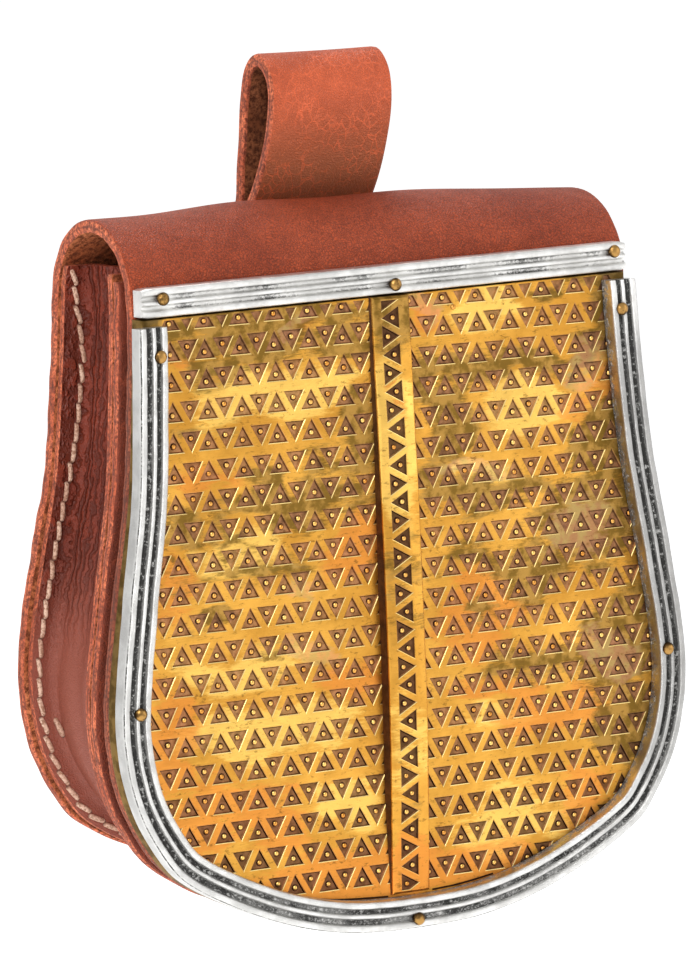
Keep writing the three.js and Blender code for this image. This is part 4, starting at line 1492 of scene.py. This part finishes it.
leather_parts = [body_grain, edge_finish, flesh_finish]
shell = cut_leather("back_and_flap_leather", back_and_flap_loop, bent_leather, 2.0, leather_parts, 1)
settle(shell, "thick_leather", "back_and_flap")
panel_parts = [shaded_panel_grain, edge_finish, flesh_finish]
panel = cut_leather("front_panel_leather", front_panel_loop, front_panel_place, 3.0, panel_parts, 2)
settle(panel, "thick_leather", "front_panel")
settle(gusset([soft_grain, edge_finish, flesh_finish]), "soft_leather", "gusset")
settle(belt_loop([strap_grain, edge_finish, flesh_finish]), "thick_leather", "belt_loop")

sheet_places = sheet_stamps()
strip_places = strip_stamps()
settle(brass_sheet(sheet_finish, sheet_places), "brass", "brass_sheet")
settle(scores(sheet_finish), "brass")
settle(centre_strip(sheet_finish, strip_places), "brass", "centre_strip")
settle(edge_moulding(silver_finish), "silver_metal", "edge_moulding")
settle(top_bar(silver_finish), "silver_metal", "top_bar")

on_places = places_tree()
pellet_finish = pellet_brass(wear)
whole = [s for s in sheet_places if level(s[0]) < STAMP_LIMIT]
whole.append((PUNCH_MARK, (0, 1)))
struck_on_face = np.arange(len(whole)) == len(whole) - 1
sunk = np.where(struck_on_face, 0.05 - STAMP_DEPTH, 0)
on_sheet = (whole, lambda p: sheet_wave(*p.T) + sunk)
settle(pellets("sheet_pellets", pellet_finish, on_places, *on_sheet), "brass")
on_strip = (strip_places[1:], lambda p: -strip_height(p[:, 1]))
settle(pellets("strip_pellets", pellet_finish, on_places, *on_strip), "brass")
settle(rivets(rivet_brass(wear), on_places), "rivet_brass", *[name for name, *_ in RIVETS])
settle(stitches(thread_finish, seam_tree()), "soft_leather")

# Floor, light and camera

FLOOR_LEVEL = -0.45
FLOOR_HALF = 12.0
SKY_STRENGTH = 0.65
LIGHT_AIM = (0, 0, -0.09)
# Name, place, size, power
LIGHTS = [
    ("key_upper_left", (-1.0, -1.1, 1.0), 1.1, 18),
    ("fill_right", (1.3, -1.0, 0.3), 1.0, 4),
    ("rim_above", (0.2, 0.9, 1.2), 0.9, 10),
]


def lay_floor():
    mesh = bpy.data.meshes.new("floor")
    corners = [(-1, -1), (1, -1), (1, 1), (-1, 1)]
    mesh.from_pydata([(x * FLOOR_HALF, y * FLOOR_HALF, FLOOR_LEVEL) for x, y in corners], [], [(0, 1, 2, 3)])
    mesh.materials.append(pale_floor())
    ground = bpy.data.objects.new("floor", mesh)
    bpy.context.scene.collection.objects.link(ground)


def soft_light(name, place, size, power):
    light = bpy.data.lights.new(name, "AREA")
    light.shape = "SQUARE"
    light.size = size
    light.energy = power
    lamp = bpy.data.objects.new(name, light)
    lamp.location = place
    lamp.rotation_euler = (Vector(LIGHT_AIM) - Vector(place)).to_track_quat("-Z", "Y").to_euler()
    bpy.context.scene.collection.objects.link(lamp)


def studio():
    world = bpy.data.worlds.new("studio")
    world.use_nodes = True
    sky = world.node_tree.nodes["Background"]
    sky.inputs["Color"].default_value = (1, 1, 1, 1)
    sky.inputs["Strength"].default_value = SKY_STRENGTH
    bpy.context.scene.world = world
    for light in LIGHTS:
        soft_light(*light)
    bpy.context.scene.view_settings.view_transform = "Standard"


CAMERA_PLACE = (-0.66749, -1.12729, 0.11237)
CAMERA_RIGHT = (0.85719, -0.51491, -0.00948)
CAMERA_UP = (0.08838, 0.12895, 0.98771)
CAMERA_LENS = 220.4
SENSOR_WIDTH = 36


def camera():
    lens = bpy.data.cameras.new("camera")
    lens.lens = CAMERA_LENS
    lens.sensor_width = SENSOR_WIDTH
    eye = bpy.data.objects.new("camera", lens)
    right, up = Vector(CAMERA_RIGHT), Vector(CAMERA_UP)
    turn = Matrix((right, up, right.cross(up))).transposed()
    eye.matrix_world = Matrix.Translation(CAMERA_PLACE) @ turn.to_4x4()
    bpy.context.scene.collection.objects.link(eye)
    bpy.context.scene.camera = eye


lay_floor()
studio()
camera()
